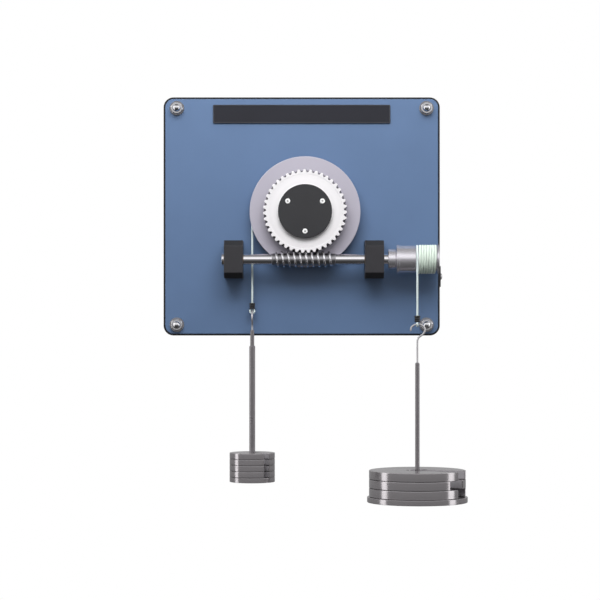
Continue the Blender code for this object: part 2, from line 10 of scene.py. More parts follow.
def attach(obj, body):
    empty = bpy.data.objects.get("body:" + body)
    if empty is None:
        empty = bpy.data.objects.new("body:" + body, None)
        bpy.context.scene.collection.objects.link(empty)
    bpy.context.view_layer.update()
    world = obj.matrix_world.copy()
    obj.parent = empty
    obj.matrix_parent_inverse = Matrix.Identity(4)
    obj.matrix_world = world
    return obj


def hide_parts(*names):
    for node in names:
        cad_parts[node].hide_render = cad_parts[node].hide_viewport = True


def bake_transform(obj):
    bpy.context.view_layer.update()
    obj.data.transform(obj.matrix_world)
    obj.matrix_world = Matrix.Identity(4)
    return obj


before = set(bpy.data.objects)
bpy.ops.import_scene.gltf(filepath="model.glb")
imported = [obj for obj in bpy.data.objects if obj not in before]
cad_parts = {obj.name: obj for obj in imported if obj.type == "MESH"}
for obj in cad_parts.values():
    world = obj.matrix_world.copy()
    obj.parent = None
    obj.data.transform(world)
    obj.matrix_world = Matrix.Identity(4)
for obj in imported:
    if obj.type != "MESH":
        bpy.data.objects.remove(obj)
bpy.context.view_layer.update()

MM = 0.001
ALONG_X = (0, math.pi / 2, 0)
ALONG_DEPTH = (math.pi / 2, 0, 0)      # local +Z points at the viewer
UPRIGHT = (0, 0, 0)

# the same driving dimensions as the CAD source, in millimetres
PANEL_W, PANEL_H, PANEL_R = 331.2, 285.6, 12.0
BOARD_T, SHEET_T, SHEET_INSET, GAP = 15.0, 1.5, 2.2, 0.3
FRONT = BOARD_T + GAP + SHEET_T
STRIP_W, STRIP_H, STRIP_T, STRIP_Z = 212.4, 22.2, 1.6, 122.6
FIX_X, FIX_Z, STUD_R = 149.5, 129.7, 3.9
TEETH = 43
MODULE = 96.0 / TEETH
PITCH = math.pi * MODULE
WHEEL_X, WHEEL_Z, AXIS_Y = 4.0, 5.0, -45.0
WHEEL_RP = TEETH * MODULE / 2
WHEEL_TIP, WHEEL_ROOT, WHEEL_B = 49.6, 46.4, 10.0
TIP_HALF, ROOT_HALF = 1.6, 2.6
SHAFT_Z = WHEEL_Z - 57.0
WORM_TIP, WORM_ROOT, WORM_BORE = 9.8, 7.0, 6.7
WORM_X0, WORM_X1, CREST, FLANK = -35.4, 40.2, 1.4, 0.9
LEAD_TAN = PITCH / (2 * math.pi * 8.6)
SHAFT_R, JOURNAL_R, SHAFT_X0, SHAFT_X1 = 6.4, 5.0, -94.8, 162.3
BLOCK_W, BLOCK_H, BLOCK_FRONT, BLOCK_CH = 22.4, 45.0, 57.0, 6.5
BLOCK_XL, BLOCK_XR, BUSH_R = -80.8, 86.2, 8.0
CORD_R = 1.2
DRUM_R, DRUM_BACK, DRUM_FRONT, GROOVE_Y, GROOVE_FLOOR = 66.0, 22.0, 34.0, 28.0, 58.9
COIL_R, LOAD_R = 60.4, 63.0
LOAD_X = WHEEL_X - LOAD_R
CAP_R, CAP_PCR = 32.0, 23.7
SEAT_R, EFFORT_R, EFFORT_X = 14.9, 16.2, 136.4
EFFORT_Y = AXIS_Y - EFFORT_R
LOAD_FERRULE, EFFORT_FERRULE = (-103.8, -111.0), (-118.6, -126.2)
WIRE_R = 1.1
LOAD_BASE_BOTTOM, LOAD_BASE_T, LOAD_R_OUT, LOAD_T, LOAD_N = -317.0, 6.0, 27.0, 6.9, 4
EFF_BASE_BOTTOM, EFF_BASE_T, EFF_BASE_R = -338.4, 6.4, 59.3
EFF_R_OUT, EFF_T, EFF_N = 57.0, 10.1, 3
LOAD_SLOT, LOAD_SLOT_DEG = 7.6, (42, 42, 42, 42)
EFF_SLOT, EFF_SLOT_DEG = 26.0, (68, 53, 68)
HUB_X = 102.6

scene = bpy.context.scene

# ---------------------------------------------------------------- camera ----
cam_data = bpy.data.cameras.new("camera")
cam = bpy.data.objects.new("camera", cam_data)
scene.collection.objects.link(cam)
cam.location = (-0.0020, -2.800, -0.1002)
cam.rotation_euler = (math.pi / 2, 0, 0)
cam_data.sensor_width = 36.0
cam_data.lens = 18.0 / (0.360 / 2.787)
cam_data.clip_start, cam_data.clip_end = 0.05, 30.0
scene.camera = cam


# ------------------------------------------------------------- mesh tools ---
def new_object(name, verts, faces, at=(0, 0, 0), turn=(0, 0, 0), smooth=True, sharp=32, uvs=None):
    """A mesh from points in mm, its origin at a point in mm."""
    mesh = bpy.data.meshes.new(name)
    mesh.from_pydata([tuple(c * MM for c in v) for v in verts], [], faces)
    mesh.validate()
    bm = bmesh.new()
    bm.from_mesh(mesh)
    bmesh.ops.recalc_face_normals(bm, faces=bm.faces)
    bm.to_mesh(mesh)
    bm.free()
    if uvs is not None:
        layer = mesh.uv_layers.new(name="along")
        for poly in mesh.polygons:
            for li in poly.loop_indices:
                layer.data[li].uv = uvs[mesh.loops[li].vertex_index]
    o = bpy.data.objects.new(name, mesh)
    scene.collection.objects.link(o)
    o.location = Vector(at) * MM
    o.rotation_euler = turn
    if smooth:
        mesh.shade_smooth()
        mesh.set_sharp_from_angle(angle=math.radians(sharp))
    return o


def weigh(o):
    w = o.modifiers.new("weighted", "WEIGHTED_NORMAL")
    w.keep_sharp = True
    w.weight = 60
    return o


def fillet(points, radius, closed=False, n=3):
    """Rounds the corners of a section; radius is one number or one for each point."""
    m = len(points)
    out = []
    for i, p in enumerate(points):
        r = radius[i] if isinstance(radius, (list, tuple)) else radius
        if (not closed and i in (0, m - 1)) or r <= 0:
            out.append(p)
            continue
        a, c = points[i - 1], points[(i + 1) % m]
        va, vc = (a[0] - p[0], a[1] - p[1]), (c[0] - p[0], c[1] - p[1])
        la, lc = math.hypot(*va), math.hypot(*vc)
        d = min(r, 0.45 * la, 0.45 * lc)
        s = (p[0] + va[0] / la * d, p[1] + va[1] / la * d)
        e = (p[0] + vc[0] / lc * d, p[1] + vc[1] / lc * d)
        for k in range(n + 1):
            t = k / n
            out.append(tuple((1 - t) ** 2 * s[q] + 2 * t * (1 - t) * p[q] + t * t * e[q] for q in (0, 1)))
    return out


def lathe(name, profile, at, turn, seg=96, closed=False, sharp=32, radius=0.0, rn=3):
    """A turned piece; its local Z is the axis.  A closed section makes a ring."""
    if radius:
        profile = fillet(profile, radius, closed, rn)
    verts, rows = [], []
    for r, h in profile:
        if r < 1e-6:
            rows.append([len(verts)])
            verts.append((0, 0, h))
        else:
            rows.append(list(range(len(verts), len(verts) + seg)))
            verts += [(r * math.cos(2 * math.pi * k / seg), r * math.sin(2 * math.pi * k / seg), h)
                      for k in range(seg)]
    faces = []
    pairs = list(zip(rows, rows[1:])) + ([(rows[-1], rows[0])] if closed else [])
    for a, b in pairs:
        if len(a) == 1 and len(b) == 1:
            continue
        for k in range(seg):
            j = (k + 1) % seg
            if len(a) == 1:
                faces.append((a[0], b[k], b[j]))
            elif len(b) == 1:
                faces.append((a[k], b[0], a[j]))
            else:
                faces.append((a[k], b[k], b[j], a[j]))
    return weigh(new_object(name, verts, faces, at, turn, sharp=sharp))


def loft(name, rings, at=(0, 0, 0), turn=(0, 0, 0), sharp=32, caps=True, closed=False):
    """Rings of as many points each, joined side to side, with flat ends."""
    verts = [p for r in rings for p in r]
    n = len(rings[0])
    faces = []
    m = len(rings)
    for i in range(m if closed else m - 1):
        a, b = i * n, ((i + 1) % m) * n
        for k in range(n):
            j = (k + 1) % n
            faces.append((a + k, a + j, b + j, b + k))
    if caps and not closed:
        faces.append(tuple(range(n))[::-1])
        faces.append(tuple(range((m - 1) * n, m * n)))
    return weigh(new_object(name, verts, faces, at, turn, sharp=sharp))


def rounded_rect(w, h, r, n=12):
    out = []
    for cx, cy, a0 in ((w / 2 - r, h / 2 - r, 0), (-w / 2 + r, h / 2 - r, 90),
                       (-w / 2 + r, -h / 2 + r, 180), (w / 2 - r, -h / 2 + r, 270)):
        for k in range(n + 1):
            a = math.radians(a0 + 90 * k / n)
            out.append((cx + r * math.cos(a), cy + r * math.sin(a)))
    return out


def slab(name, w, h, r, y0, y1, edge, at=(0, 0), n=12):
    """A rounded plate in X and Z between two depths, with rounded edges."""
    rings = []
    for y, inset in ((y0, edge), (y0 + 0.3 * edge * (1 if y1 > y0 else -1), 0.3 * edge),
                     (y0 + edge * (1 if y1 > y0 else -1), 0),
                     (y1 - edge * (1 if y1 > y0 else -1), 0),
                     (y1 - 0.3 * edge * (1 if y1 > y0 else -1), 0.3 * edge), (y1, edge)):
        rings.append([(x + at[0], y, z + at[1]) for x, z in rounded_rect(w - 2 * inset, h - 2 * inset, r - inset, n)])
    return loft(name, rings)


def tube(name, path, radius, sides=14, at=(0, 0, 0), caps=True, taper=None):
    """A round tube along world points in mm, with a UV of (mm along, turns round)."""
    p = [Vector(q) for q in path]
    verts, uvs, faces = [], [], []
    tangent = [(p[min(i + 1, len(p) - 1)] - p[max(i - 1, 0)]).normalized() for i in range(len(p))]
    up = Vector((0, 0, 1)) if abs(tangent[0].z) < 0.9 else Vector((1, 0, 0))
    side = tangent[0].cross(up).normalized()
    along = 0.0
    n = sides + 1                                   # one doubled column keeps the UV whole
    for i, q in enumerate(p):
        if i:
            along += (q - p[i - 1]).length
            side = (side - tangent[i] * side.dot(tangent[i])).normalized()
        other = tangent[i].cross(side)
        r = radius * (taper(i / (len(p) - 1)) if taper else 1.0)
        for k in range(sides):
            a = 2 * math.pi * k / sides
            v = q + (side * math.cos(a) + other * math.sin(a)) * r
            verts.append(tuple(v - Vector(at)))
            uvs.append((along, k / sides))
    for i in range(len(p) - 1):
        for k in range(sides):
            j = (k + 1) % sides
            faces.append((i * sides + k, i * sides + j, (i + 1) * sides + j, (i + 1) * sides + k))
    if caps:
        faces.append(tuple(range(sides))[::-1])
        faces.append(tuple(range((len(p) - 1) * sides, len(p) * sides)))
    mesh = bpy.data.meshes.new(name)
    mesh.from_pydata([tuple(c * MM for c in v) for v in verts], [], faces)
    layer = mesh.uv_layers.new(name="along")
    for poly in mesh.polygons:
        ks = [mesh.loops[li].vertex_index % sides for li in poly.loop_indices]
        wrap = len(ks) == 4 and max(ks) == sides - 1 and min(ks) == 0
        for li, k in zip(poly.loop_indices, ks):
            u, v = uvs[mesh.loops[li].vertex_index]
            layer.data[li].uv = (u, 1.0 if wrap and k == 0 else v)
    o = bpy.data.objects.new(name, mesh)
    scene.collection.objects.link(o)
    o.location = Vector(at) * MM
    mesh.shade_smooth()
    mesh.set_sharp_from_angle(angle=math.radians(60))
    return o


def smooth_route(points, per):
    p = [Vector(q) for q in points]
    p = [2 * p[0] - p[1]] + p + [2 * p[-1] - p[-2]]
    out = []
    for i in range(1, len(p) - 2):
        for k in range(per):
            t = k / per
            out.append(0.5 * (2 * p[i] + (p[i + 1] - p[i - 1]) * t
                              + (2 * p[i - 1] - 5 * p[i] + 4 * p[i + 1] - p[i + 2]) * t * t
                              + (3 * p[i] - p[i - 1] - 3 * p[i + 1] + p[i + 2]) * t ** 3))
    return out + [p[-2]]


def cut(o, cutter, op="DIFFERENCE", sharp=32):
    """Cuts o by cutter for good, and removes the cutter."""
    for m in list(o.modifiers):
        o.modifiers.remove(m)
    b = o.modifiers.new("cut", "BOOLEAN")
    b.operation, b.solver, b.object = op, "EXACT", cutter
    bpy.context.view_layer.update()
    made = bpy.data.meshes.new_from_object(o.evaluated_get(bpy.context.evaluated_depsgraph_get()))
    o.modifiers.remove(b)
    old = o.data
    o.data = made
    bpy.data.meshes.remove(old)
    bpy.data.objects.remove(cutter, do_unlink=True)
    made.shade_smooth()
    made.set_sharp_from_angle(angle=math.radians(sharp))
    return weigh(o)


def block_of(name, size, at, turn=(0, 0, 0)):
    x, y, z = (s / 2 for s in size)
    v = [(a, b, c) for a in (-x, x) for b in (-y, y) for c in (-z, z)]
    f = [(0, 1, 3, 2), (4, 6, 7, 5), (0, 4, 5, 1), (2, 3, 7, 6), (0, 2, 6, 4), (1, 5, 7, 3)]
    return new_object(name, v, f, at, turn, smooth=False)


# --------------------------------------------------------------- materials --
class Mat:
    """A procedural material round one Principled shader."""

    def __init__(self, name, colour, metallic=0.0, rough=0.4, **sockets):
        self.m = bpy.data.materials.new(name)
        self.m.use_nodes = True
        self.t = self.m.node_tree
        self.t.nodes.clear()
        self.out = self.n("ShaderNodeOutputMaterial")
        self.b = self.n("ShaderNodeBsdfPrincipled")
        self.l(self.b.outputs[0], self.out.inputs[0])
        self.co = self.n("ShaderNodeTexCoord")
        self.b.inputs["Base Color"].default_value = (*colour, 1)
        self.b.inputs["Metallic"].default_value = metallic
        self.b.inputs["Roughness"].default_value = rough
        for k, v in sockets.items():
            self.b.inputs[k.replace("_", " ")].default_value = v
        self.colour, self.normal = colour, None

    def n(self, kind, **props):
        node = self.t.nodes.new(kind)
        for k, v in props.items():
            setattr(node, k, v)
        return node

    def l(self, a, b):
        self.t.links.new(a, b)

    def put(self, socket, value):
        if hasattr(value, "node"):
            self.l(value, socket)
        else:
            socket.default_value = value

    def math(self, op, a, b=0.0, c=None):
        m = self.n("ShaderNodeMath", operation=op)
        self.put(m.inputs[0], a)
        self.put(m.inputs[1], b)
        if c is not None:
            self.put(m.inputs[2], c)
        return m.outputs[0]

    def xyz(self, vector):
        s = self.n("ShaderNodeSeparateXYZ")
        self.l(vector, s.inputs[0])
        return s.outputs

    def vec(self, x=0.0, y=0.0, z=0.0):
        c = self.n("ShaderNodeCombineXYZ")
        for s, v in zip(c.inputs, (x, y, z)):
            self.put(s, v)
        return c.outputs[0]

    def obj(self, sx=1.0, sy=1.0, sz=1.0):
        m = self.n("ShaderNodeMapping")
        self.l(self.co.outputs["Object"], m.inputs["Vector"])
        m.inputs["Scale"].default_value = (sx, sy, sz)
        return m.outputs[0]

    def rings(self, kr, kz):
        """Coordinates that are constant round local Z: lathe marks."""
        x, y, z = self.xyz(self.co.outputs["Object"])
        r = self.math("SQRT", self.math("ADD", self.math("MULTIPLY", x, x), self.math("MULTIPLY", y, y)))
        return self.vec(self.math("MULTIPLY", r, kr), self.math("MULTIPLY", z, kz), 0.0)

    def noise(self, vector, scale=1.0, detail=3.0, rough=0.55, kind="FBM"):
        t = self.n("ShaderNodeTexNoise")
        self.l(vector, t.inputs["Vector"])
        t.inputs["Scale"].default_value = scale
        t.inputs["Detail"].default_value = detail
        t.inputs["Roughness"].default_value = rough
        return t.outputs[0]

    def ramp(self, fac, stops, interpolation="LINEAR"):
        r = self.n("ShaderNodeValToRGB")
        self.l(fac, r.inputs[0])
        e = r.color_ramp.elements
        while len(e) < len(stops):
            e.new(0.5)
        for el, (pos, col) in zip(e, stops):
            el.position = pos
            el.color = (*col, 1) if isinstance(col, tuple) else (col, col, col, 1)
        r.color_ramp.interpolation = interpolation
        return r.outputs[0]

    def mix(self, fac, a, b, blend="MIX"):
        m = self.n("ShaderNodeMix", data_type="RGBA", blend_type=blend)
        self.put(m.inputs[0], fac)
        for s, v in ((m.inputs[6], a), (m.inputs[7], b)):
            if hasattr(v, "node"):
                self.l(v, s)
            else:
                s.default_value = (*v, 1)
        return m.outputs[2]

    def range(self, fac, lo, hi, a=0.0, b=1.0):
        m = self.n("ShaderNodeMapRange")
        self.l(fac, m.inputs[0])
        m.inputs[1].default_value, m.inputs[2].default_value = a, b
        m.inputs[3].default_value, m.inputs[4].default_value = lo, hi
        return m.outputs[0]

    def bump(self, height, strength, distance):
        b = self.n("ShaderNodeBump")
        b.inputs["Strength"].default_value = strength
        b.inputs["Distance"].default_value = distance
        self.l(height, b.inputs["Height"])
        if self.normal is not None:
            self.l(self.normal, b.inputs["Normal"])
        self.normal = b.outputs[0]
        self.l(self.normal, self.b.inputs["Normal"])

    def base(self, socket):
        self.l(socket, self.b.inputs["Base Color"])

    def rough(self, socket):
        self.l(socket, self.b.inputs["Roughness"])

    def tangent_round(self, axis="Z"):
        t = self.n("ShaderNodeTangent", direction_type="RADIAL", axis=axis)
        self.l(t.outputs[0], self.b.inputs["Tangent"])

    def edges(self, width=0.0007):
        """1 along worn convex or concave edges."""
        rounded = self.n("ShaderNodeBevel", samples=4)
        rounded.inputs["Radius"].default_value = width
        g = self.n("ShaderNodeNewGeometry")
        d = self.n("ShaderNodeVectorMath", operation="DOT_PRODUCT")
        self.l(rounded.outputs[0], d.inputs[0])
        self.l(g.outputs["Normal"], d.inputs[1])
        return self.range(self.math("SUBTRACT", 1.0, d.outputs["Value"]), 0.0, 1.0, 0.02, 0.14)


def shade(c, k):
    return tuple(min(1.0, x * k) for x in c)


def turned_metal(name, colour, rough, kr=5000, kz=5000, lines=0.06, var=0.06, aniso=0.4, metallic=1.0, stain=0.0, **extra):
    """Machined metal: fine lathe lines round the axis, faint stains, highlights drawn across the lines."""
    s = Mat(name, colour, metallic, rough, Anisotropic=aniso, Anisotropic_Rotation=0.25, **extra)
    fine = s.noise(s.rings(kr, kz), 1.0, 2.0, 0.6)
    broad = s.noise(s.rings(kr / 14, kz / 14), 1.0, 3.0, 0.6)
    cloud = s.noise(s.obj(), 55.0, 4.0, 0.6)
    speck = s.noise(s.obj(), 1500.0, 2.0, 0.6)
    tone = s.mix(s.range(fine, 0.0, 1.0, 0.3, 0.7), shade(colour, 1 - var), shade(colour, 1 + var * 0.5))
    tone = s.mix(s.range(broad, 0.0, 0.5, 0.35, 0.75), tone, shade(colour, 1 - var * 1.4))
    if stain:
        tone = s.mix(s.range(cloud, 0.0, stain, 0.48, 0.72), tone, (colour[0] * 0.80, colour[1] * 0.75, colour[2] * 0.72))
    tone = s.mix(s.range(speck, 0.0, 0.12, 0.68, 0.8), tone, shade(colour, 0.6))
    s.base(tone)
    s.rough(s.math("ADD", s.range(cloud, rough - 0.03, rough + 0.04, 0.3, 0.7), s.range(fine, -0.02, 0.02, 0.3, 0.7)))
    s.bump(fine, lines, 0.00003)
    if aniso:
        s.tangent_round()
    return s.m


def painted(name, colour, rough, peel=1200.0, bump=0.10, var=0.06, edge=None, cloud_scale=18.0, grit=0.0, **extra):
    """Paint or moulded plastic: faint orange peel, uneven gloss and optional worn edges."""
    s = Mat(name, colour, 0.0, rough, **extra)
    cloud = s.noise(s.obj(), cloud_scale, 5.0, 0.6)
    fine = s.noise(s.obj(), peel, 3.0, 0.6)
    tone = s.mix(s.range(cloud, 0.0, 1.0, 0.3, 0.7), shade(colour, 1 - var), shade(colour, 1 + var))
    tone = s.mix(s.range(fine, 0.0, 0.35 + grit, 0.55, 0.8), tone, shade(colour, 1 + 2.2 * var))
    if edge is not None:
        tone = s.mix(s.math("MULTIPLY", s.edges(), s.range(s.noise(s.obj(), 420.0, 4.0, 0.7), 0.15, 1.0, 0.35, 0.65)), tone, edge)
    s.base(tone)
    s.rough(s.math("ADD", s.range(cloud, rough - 0.05, rough + 0.07, 0.3, 0.7), s.range(fine, -0.03, 0.04, 0.3, 0.7)))
    s.bump(fine, bump, 0.00012)
    return s.m


def cord_material(name, colour, dark):
    """A braided cord: crossing strands in the tube's own UV, with painted shade in the valleys between the strands."""
    s = Mat(name, colour, 0.0, 0.78, Sheen_Weight=0.35, Sheen_Roughness=0.5)
    uv = s.xyz(s.co.outputs["UV"])
    a = s.math("MULTIPLY", uv[0], 2 * math.pi / 3.4)
    b = s.math("MULTIPLY", uv[1], 2 * math.pi * 4)
    one = s.math("SINE", s.math("ADD", s.math("MULTIPLY", a, 2.0), b))
    two = s.math("SINE", s.math("SUBTRACT", s.math("MULTIPLY", a, 2.0), b))
    over = s.math("GREATER_THAN", s.math("SINE", s.math("MULTIPLY", b, 1.0)), 0.0)
    height = s.math("MAXIMUM", one, two)
    height = s.math("ADD", height, s.math("MULTIPLY", s.math("MULTIPLY", one, two), 0.35))
    fibre = s.noise(s.obj(), 5200.0, 3.0, 0.7)
    # painted shade: the low parts of the strand pattern take the darker colour
    tone = s.mix(s.range(height, 0.0, 1.0, -0.9, 0.5), dark, colour)
    tone = s.mix(s.range(fibre, 0.0, 0.35, 0.4, 0.75), tone, shade(colour, 1.12))
    s.base(tone)
    s.bump(height, 0.4, 0.00014)
    s.bump(fibre, 0.25, 0.00005)
    return s.m


BLUE = (0.109, 0.181, 0.325)
M = {}
M["blue"] = painted("blue_face_paint", BLUE, 0.42, peel=1500, bump=0.06, var=0.035, Coat_Weight=0.12, Coat_Roughness=0.28)
M["board"] = painted("black_laminate", (0.010, 0.010, 0.012), 0.56, peel=2600, bump=0.25, var=0.12, grit=0.2, edge=(0.022, 0.022, 0.025))
M["strip"] = painted("strip_enamel", (0.0125, 0.0130, 0.0195), 0.44, peel=3200, bump=0.08, var=0.10)
M["strip_rim"] = painted("strip_rim", (0.040, 0.042, 0.050), 0.42, peel=3200, bump=0.08, var=0.10)
M["block"] = painted("black_anodised", (0.029, 0.028, 0.032), 0.50, peel=4200, bump=0.32, var=0.10, grit=0.25, edge=(0.11, 0.11, 0.12))
M["cap"] = painted("black_cap", (0.029, 0.029, 0.032), 0.45, peel=3800, bump=0.14, var=0.08, grit=0.15, edge=(0.12, 0.12, 0.13))
M["ferrule"] = painted("black_sleeve", (0.016, 0.016, 0.018), 0.38, peel=2400, bump=0.2, var=0.2, edge=(0.06, 0.06, 0.06))
M["chrome"] = turned_metal("polished_nut_steel", (0.76, 0.755, 0.775), 0.20, lines=0.02, var=0.02, aniso=0.0)
M["washer"] = turned_metal("satin_washer_steel", (0.33, 0.325, 0.345), 0.34, lines=0.03, var=0.03, aniso=0.0)
M["screw"] = turned_metal("bright_screw_steel", (0.97, 0.97, 0.97), 0.36, lines=0.05, var=0.015, aniso=0.0, metallic=0.05)
M["shaft"] = turned_metal("ground_shaft_steel", (0.86, 0.845, 0.87), 0.13, kr=3000, kz=6500, lines=0.05, var=0.04, aniso=0.2)
def worm_metal():
    """Ground crests over a root darkened as painted shade between the thread turns; the radius decides which."""
    c = (0.90, 0.89, 0.91)
    s = Mat("worm_steel", c, 1.0, 0.2)
    x, y, z = s.xyz(s.co.outputs["Object"])
    rad = s.math("SQRT", s.math("ADD", s.math("MULTIPLY", x, x), s.math("MULTIPLY", y, y)))
    fine = s.noise(s.obj(4000, 4000, 4000), 1.0, 2.0, 0.6)
    cloud = s.noise(s.obj(), 300.0, 4.0, 0.6)
    high = s.math("ADD", rad, s.range(cloud, -0.0002, 0.0002, 0.3, 0.7))
    crest = s.n("ShaderNodeMapRange", interpolation_type="SMOOTHSTEP")
    s.l(high, crest.inputs[0])
    crest.inputs[1].default_value, crest.inputs[2].default_value = 0.0072, 0.0090
    # painted shade: the root takes a darker grey that stands in for the shade between the thread turns
    tone = s.mix(crest.outputs[0], (0.36, 0.352, 0.366), c)
    tone = s.mix(s.range(fine, 0.0, 0.3, 0.4, 0.7), tone, (0.45, 0.44, 0.46))
    s.base(tone)
    s.rough(s.math("ADD", s.range(crest.outputs[0], 0.30, 0.17), s.range(fine, -0.02, 0.03, 0.3, 0.7)))
    s.bump(fine, 0.06, 0.00003)
    return s.m


M["worm"] = worm_metal()
M["drum"] = turned_metal("turned_drum_metal", (0.72, 0.70, 0.745), 0.22, kr=4200, kz=3600, lines=0.035, var=0.035, aniso=0.15, metallic=0.80)
M["wheel"] = turned_metal("bright_wheel_metal", (0.925, 0.905, 0.925), 0.40, kr=2600, kz=5200, lines=0.10, var=0.055, aniso=0.2, metallic=0.12)
# the tooth sides: bare cut metal, its colour darkened further as painted shade so the gaps between the teeth read dark
M["flank"] = turned_metal("cut_flank_metal", (0.31, 0.30, 0.32), 0.38, kr=6000, kz=6000, lines=0.10, var=0.08, aniso=0.0)
M["disc"] = turned_metal("grey_disc_metal", (0.52, 0.495, 0.575), 0.40, kr=4200, kz=4200, lines=0.07, var=0.035, aniso=0.3, metallic=0.25)
M["weight"] = turned_metal("slotted_weight_steel", (0.392, 0.371, 0.384), 0.17, kr=4200, kz=4200, lines=0.05, var=0.05, aniso=0.3, stain=0.2, metallic=0.72)
M["slot_cut"] = painted("milled_slot_steel", (0.36, 0.345, 0.365), 0.5, peel=2600, bump=0.12, var=0.07)
M["rod"] = turned_metal("drawn_rod_steel", (0.255, 0.239, 0.25), 0.30, kr=5000, kz=700, lines=0.03, var=0.03, aniso=0.0, stain=0.12, metallic=0.7)
M["wire"] = turned_metal("hook_wire_steel", (0.60, 0.585, 0.60), 0.30, kr=5000, kz=1400, lines=0.03, var=0.04, aniso=0.0, stain=0.15, metallic=0.55)
M["bronze"] = turned_metal("bush_bronze", (0.60, 0.38, 0.17), 0.30, lines=0.10, var=0.08, aniso=0.3)
# black oxide for the socket and retaining screws; also painted shade in the cross recesses of the cap screws
M["black_steel"] = turned_metal("black_oxide_finish_and_recess_shade", (0.055, 0.055, 0.06), 0.34, lines=0.08, var=0.12, aniso=0.0, metallic=0.6)
# painted shade: a darker copy of the block paint for the top and bottom chamfers, standing in for faces turned away
# from the light
M["block_bevel"] = painted("black_anodised_chamfer_shade", (0.017, 0.017, 0.019), 0.46, peel=4200, bump=0.16, var=0.10, edge=(0.07, 0.07, 0.075))
# painted shade: a dark grey for the drum face behind the toothed wheel, standing in for the shadow between the teeth
M["seat"] = painted("dark_seat", (0.085, 0.083, 0.09), 0.5, peel=2600, bump=0.10, var=0.10)
# each cord's second colour is painted shade for the valleys between its strands
M["cord"] = cord_material("pale_cord", (0.72, 0.825, 0.735), (0.55, 0.66, 0.57))
M["line"] = cord_material("pale_line", (0.75, 0.85, 0.845), (0.54, 0.65, 0.64))


def give(o, material, body=None, stands_for=()):
    o.data.materials.clear()
    o.data.materials.append(M[material])
    if body:
        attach(o, body)
    if stands_for:
        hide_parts(*([stands_for] if isinstance(stands_for, str) else stands_for))
    return o


# ------------------------------------------------------------------ cords ---
def arc_down(cx, cz, r, a0, a1, n, place):
    return [place(cx + r * math.cos(math.radians(a0 + (a1 - a0) * k / n)),
                  cz + r * math.sin(math.radians(a0 + (a1 - a0) * k / n))) for k in range(n)]


def ferrule(prefix, x, y, f0, f1, body):
    """A crimped sleeve with two pressed grooves."""
    h = f0 - f1
    prof = fillet([(1.35, f0), (3.1, f0), (3.5, f0 - 0.5), (3.5, f0 - 0.26 * h), (3.05, f0 - 0.32 * h), (3.05, f0 - 0.40 * h),
                   (3.5, f0 - 0.46 * h), (3.5, f0 - 0.58 * h), (3.05, f0 - 0.64 * h), (3.05, f0 - 0.72 * h),
                   (3.5, f0 - 0.78 * h), (3.5, f1 + 0.5), (3.0, f1), (1.35, f1)], 0.25, True, 2)
    o = lathe(f"{prefix}_ferrule_sleeve", prof, (x, y, 0), UPRIGHT, 40, closed=True)
    return give(o, "ferrule", body, f"{prefix}_ferrule")


def hang(prefix, x, y, top, ferr, foot, sideways, lead_in):
    body = f"{prefix}_hanger"
    f0, f1 = ferr
    n = max(12, round((top - f0) / 2.2))
    straight = [(x, y, top + (f0 - 1.0 - top) * k / n) for k in range(n + 1)]
    path = lead_in + straight
    strand = tube(f"{prefix}_line", path, CORD_R, 16)
    strand.data.materials.append(M["line"])
    sleeve = ferrule(prefix, x, y, f0, f1, body)
    # the loop across the hook
    legs, r = f1 + 1.4, 2.7
    turn = f1 - GAP - 2.0
    loop = [(-0.9, legs), (-1.3, f1 + 0.1), (-2.3, turn + 1.0)]
    loop += [(r * math.cos(math.pi + math.pi * k / 12), turn + r * math.sin(math.pi + math.pi * k / 12)) for k in range(13)]
    loop += [(2.3, turn + 1.0), (1.3, f1 + 0.1), (0.9, legs)]
    pts = [(x, y + u, z) if sideways else (x + u, y, z) for u, z in loop]
    eye = tube(f"{prefix}_line_loop", smooth_route(pts, 3), CORD_R * 0.92, 14)
    give(eye, "line", body, f"{prefix}_cord_loop")
    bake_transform(strand)
    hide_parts(f"{prefix}_cord")
    # the wire hook, screwed into the rod
    crown = turn - r + CORD_R + GAP + WIRE_R
    shape = [(-8.0, -8.4), (-6.6, -3.2), (0, 0), (6.4, -2.0), (9.0, -7.0), (6.6, -11.8), (1.6, -15.8), (0, -19.6)]
    route = smooth_route([(u, 0, crown + z) for u, z in shape], 10)
    at = (lambda u, z: (x + u, y, z)) if sideways else (lambda u, z: (x, y - u, z))
    pts = [at(p[0], p[2]) for p in route]
    last = pts[-1][2]
    pts += [at(0, last + (foot - 0.4 - last) * k / 8) for k in range(1, 9)]
    hook = tube(f"{prefix}_wire_hook", pts, WIRE_R, 20, taper=lambda t: min(1.0, 0.55 + 14 * t))
    give(hook, "wire", body, f"{prefix}_hook")
    return crown


deg = math.radians
# the load cord comes over the top of the turn in the groove and leaves at the left
lead = [(WHEEL_X + (LOAD_R - 2.4 * (k / 22) ** 1.5) * math.cos(deg(180 - 62 * k / 22)), -GROOVE_Y,
         WHEEL_Z + (LOAD_R - 2.4 * (k / 22) ** 1.5) * math.sin(deg(180 - 62 * k / 22))) for k in range(22, 0, -1)]
hang("load", LOAD_X, -GROOVE_Y, WHEEL_Z, LOAD_FERRULE, -136.0, False, lead)
# the effort cord comes off the first turn on the drum, over the top and down at the front
turns, lay, lead_turn = 7.5, 3.02, 0.30
lead = [(EFFORT_X + lay * lead_turn * (k / 18) ** 2, AXIS_Y + (EFFORT_R - 0.5 * (k / 18) ** 6) * math.cos(deg(180 - 360 * lead_turn * k / 18)),
         SHAFT_Z + (EFFORT_R - 0.5 * (k / 18) ** 6) * math.sin(deg(180 - 360 * lead_turn * k / 18))) for k in range(18, 0, -1)]
hang("effort", EFFORT_X, EFFORT_Y, SHAFT_Z, EFFORT_FERRULE, -174.0, True, lead)

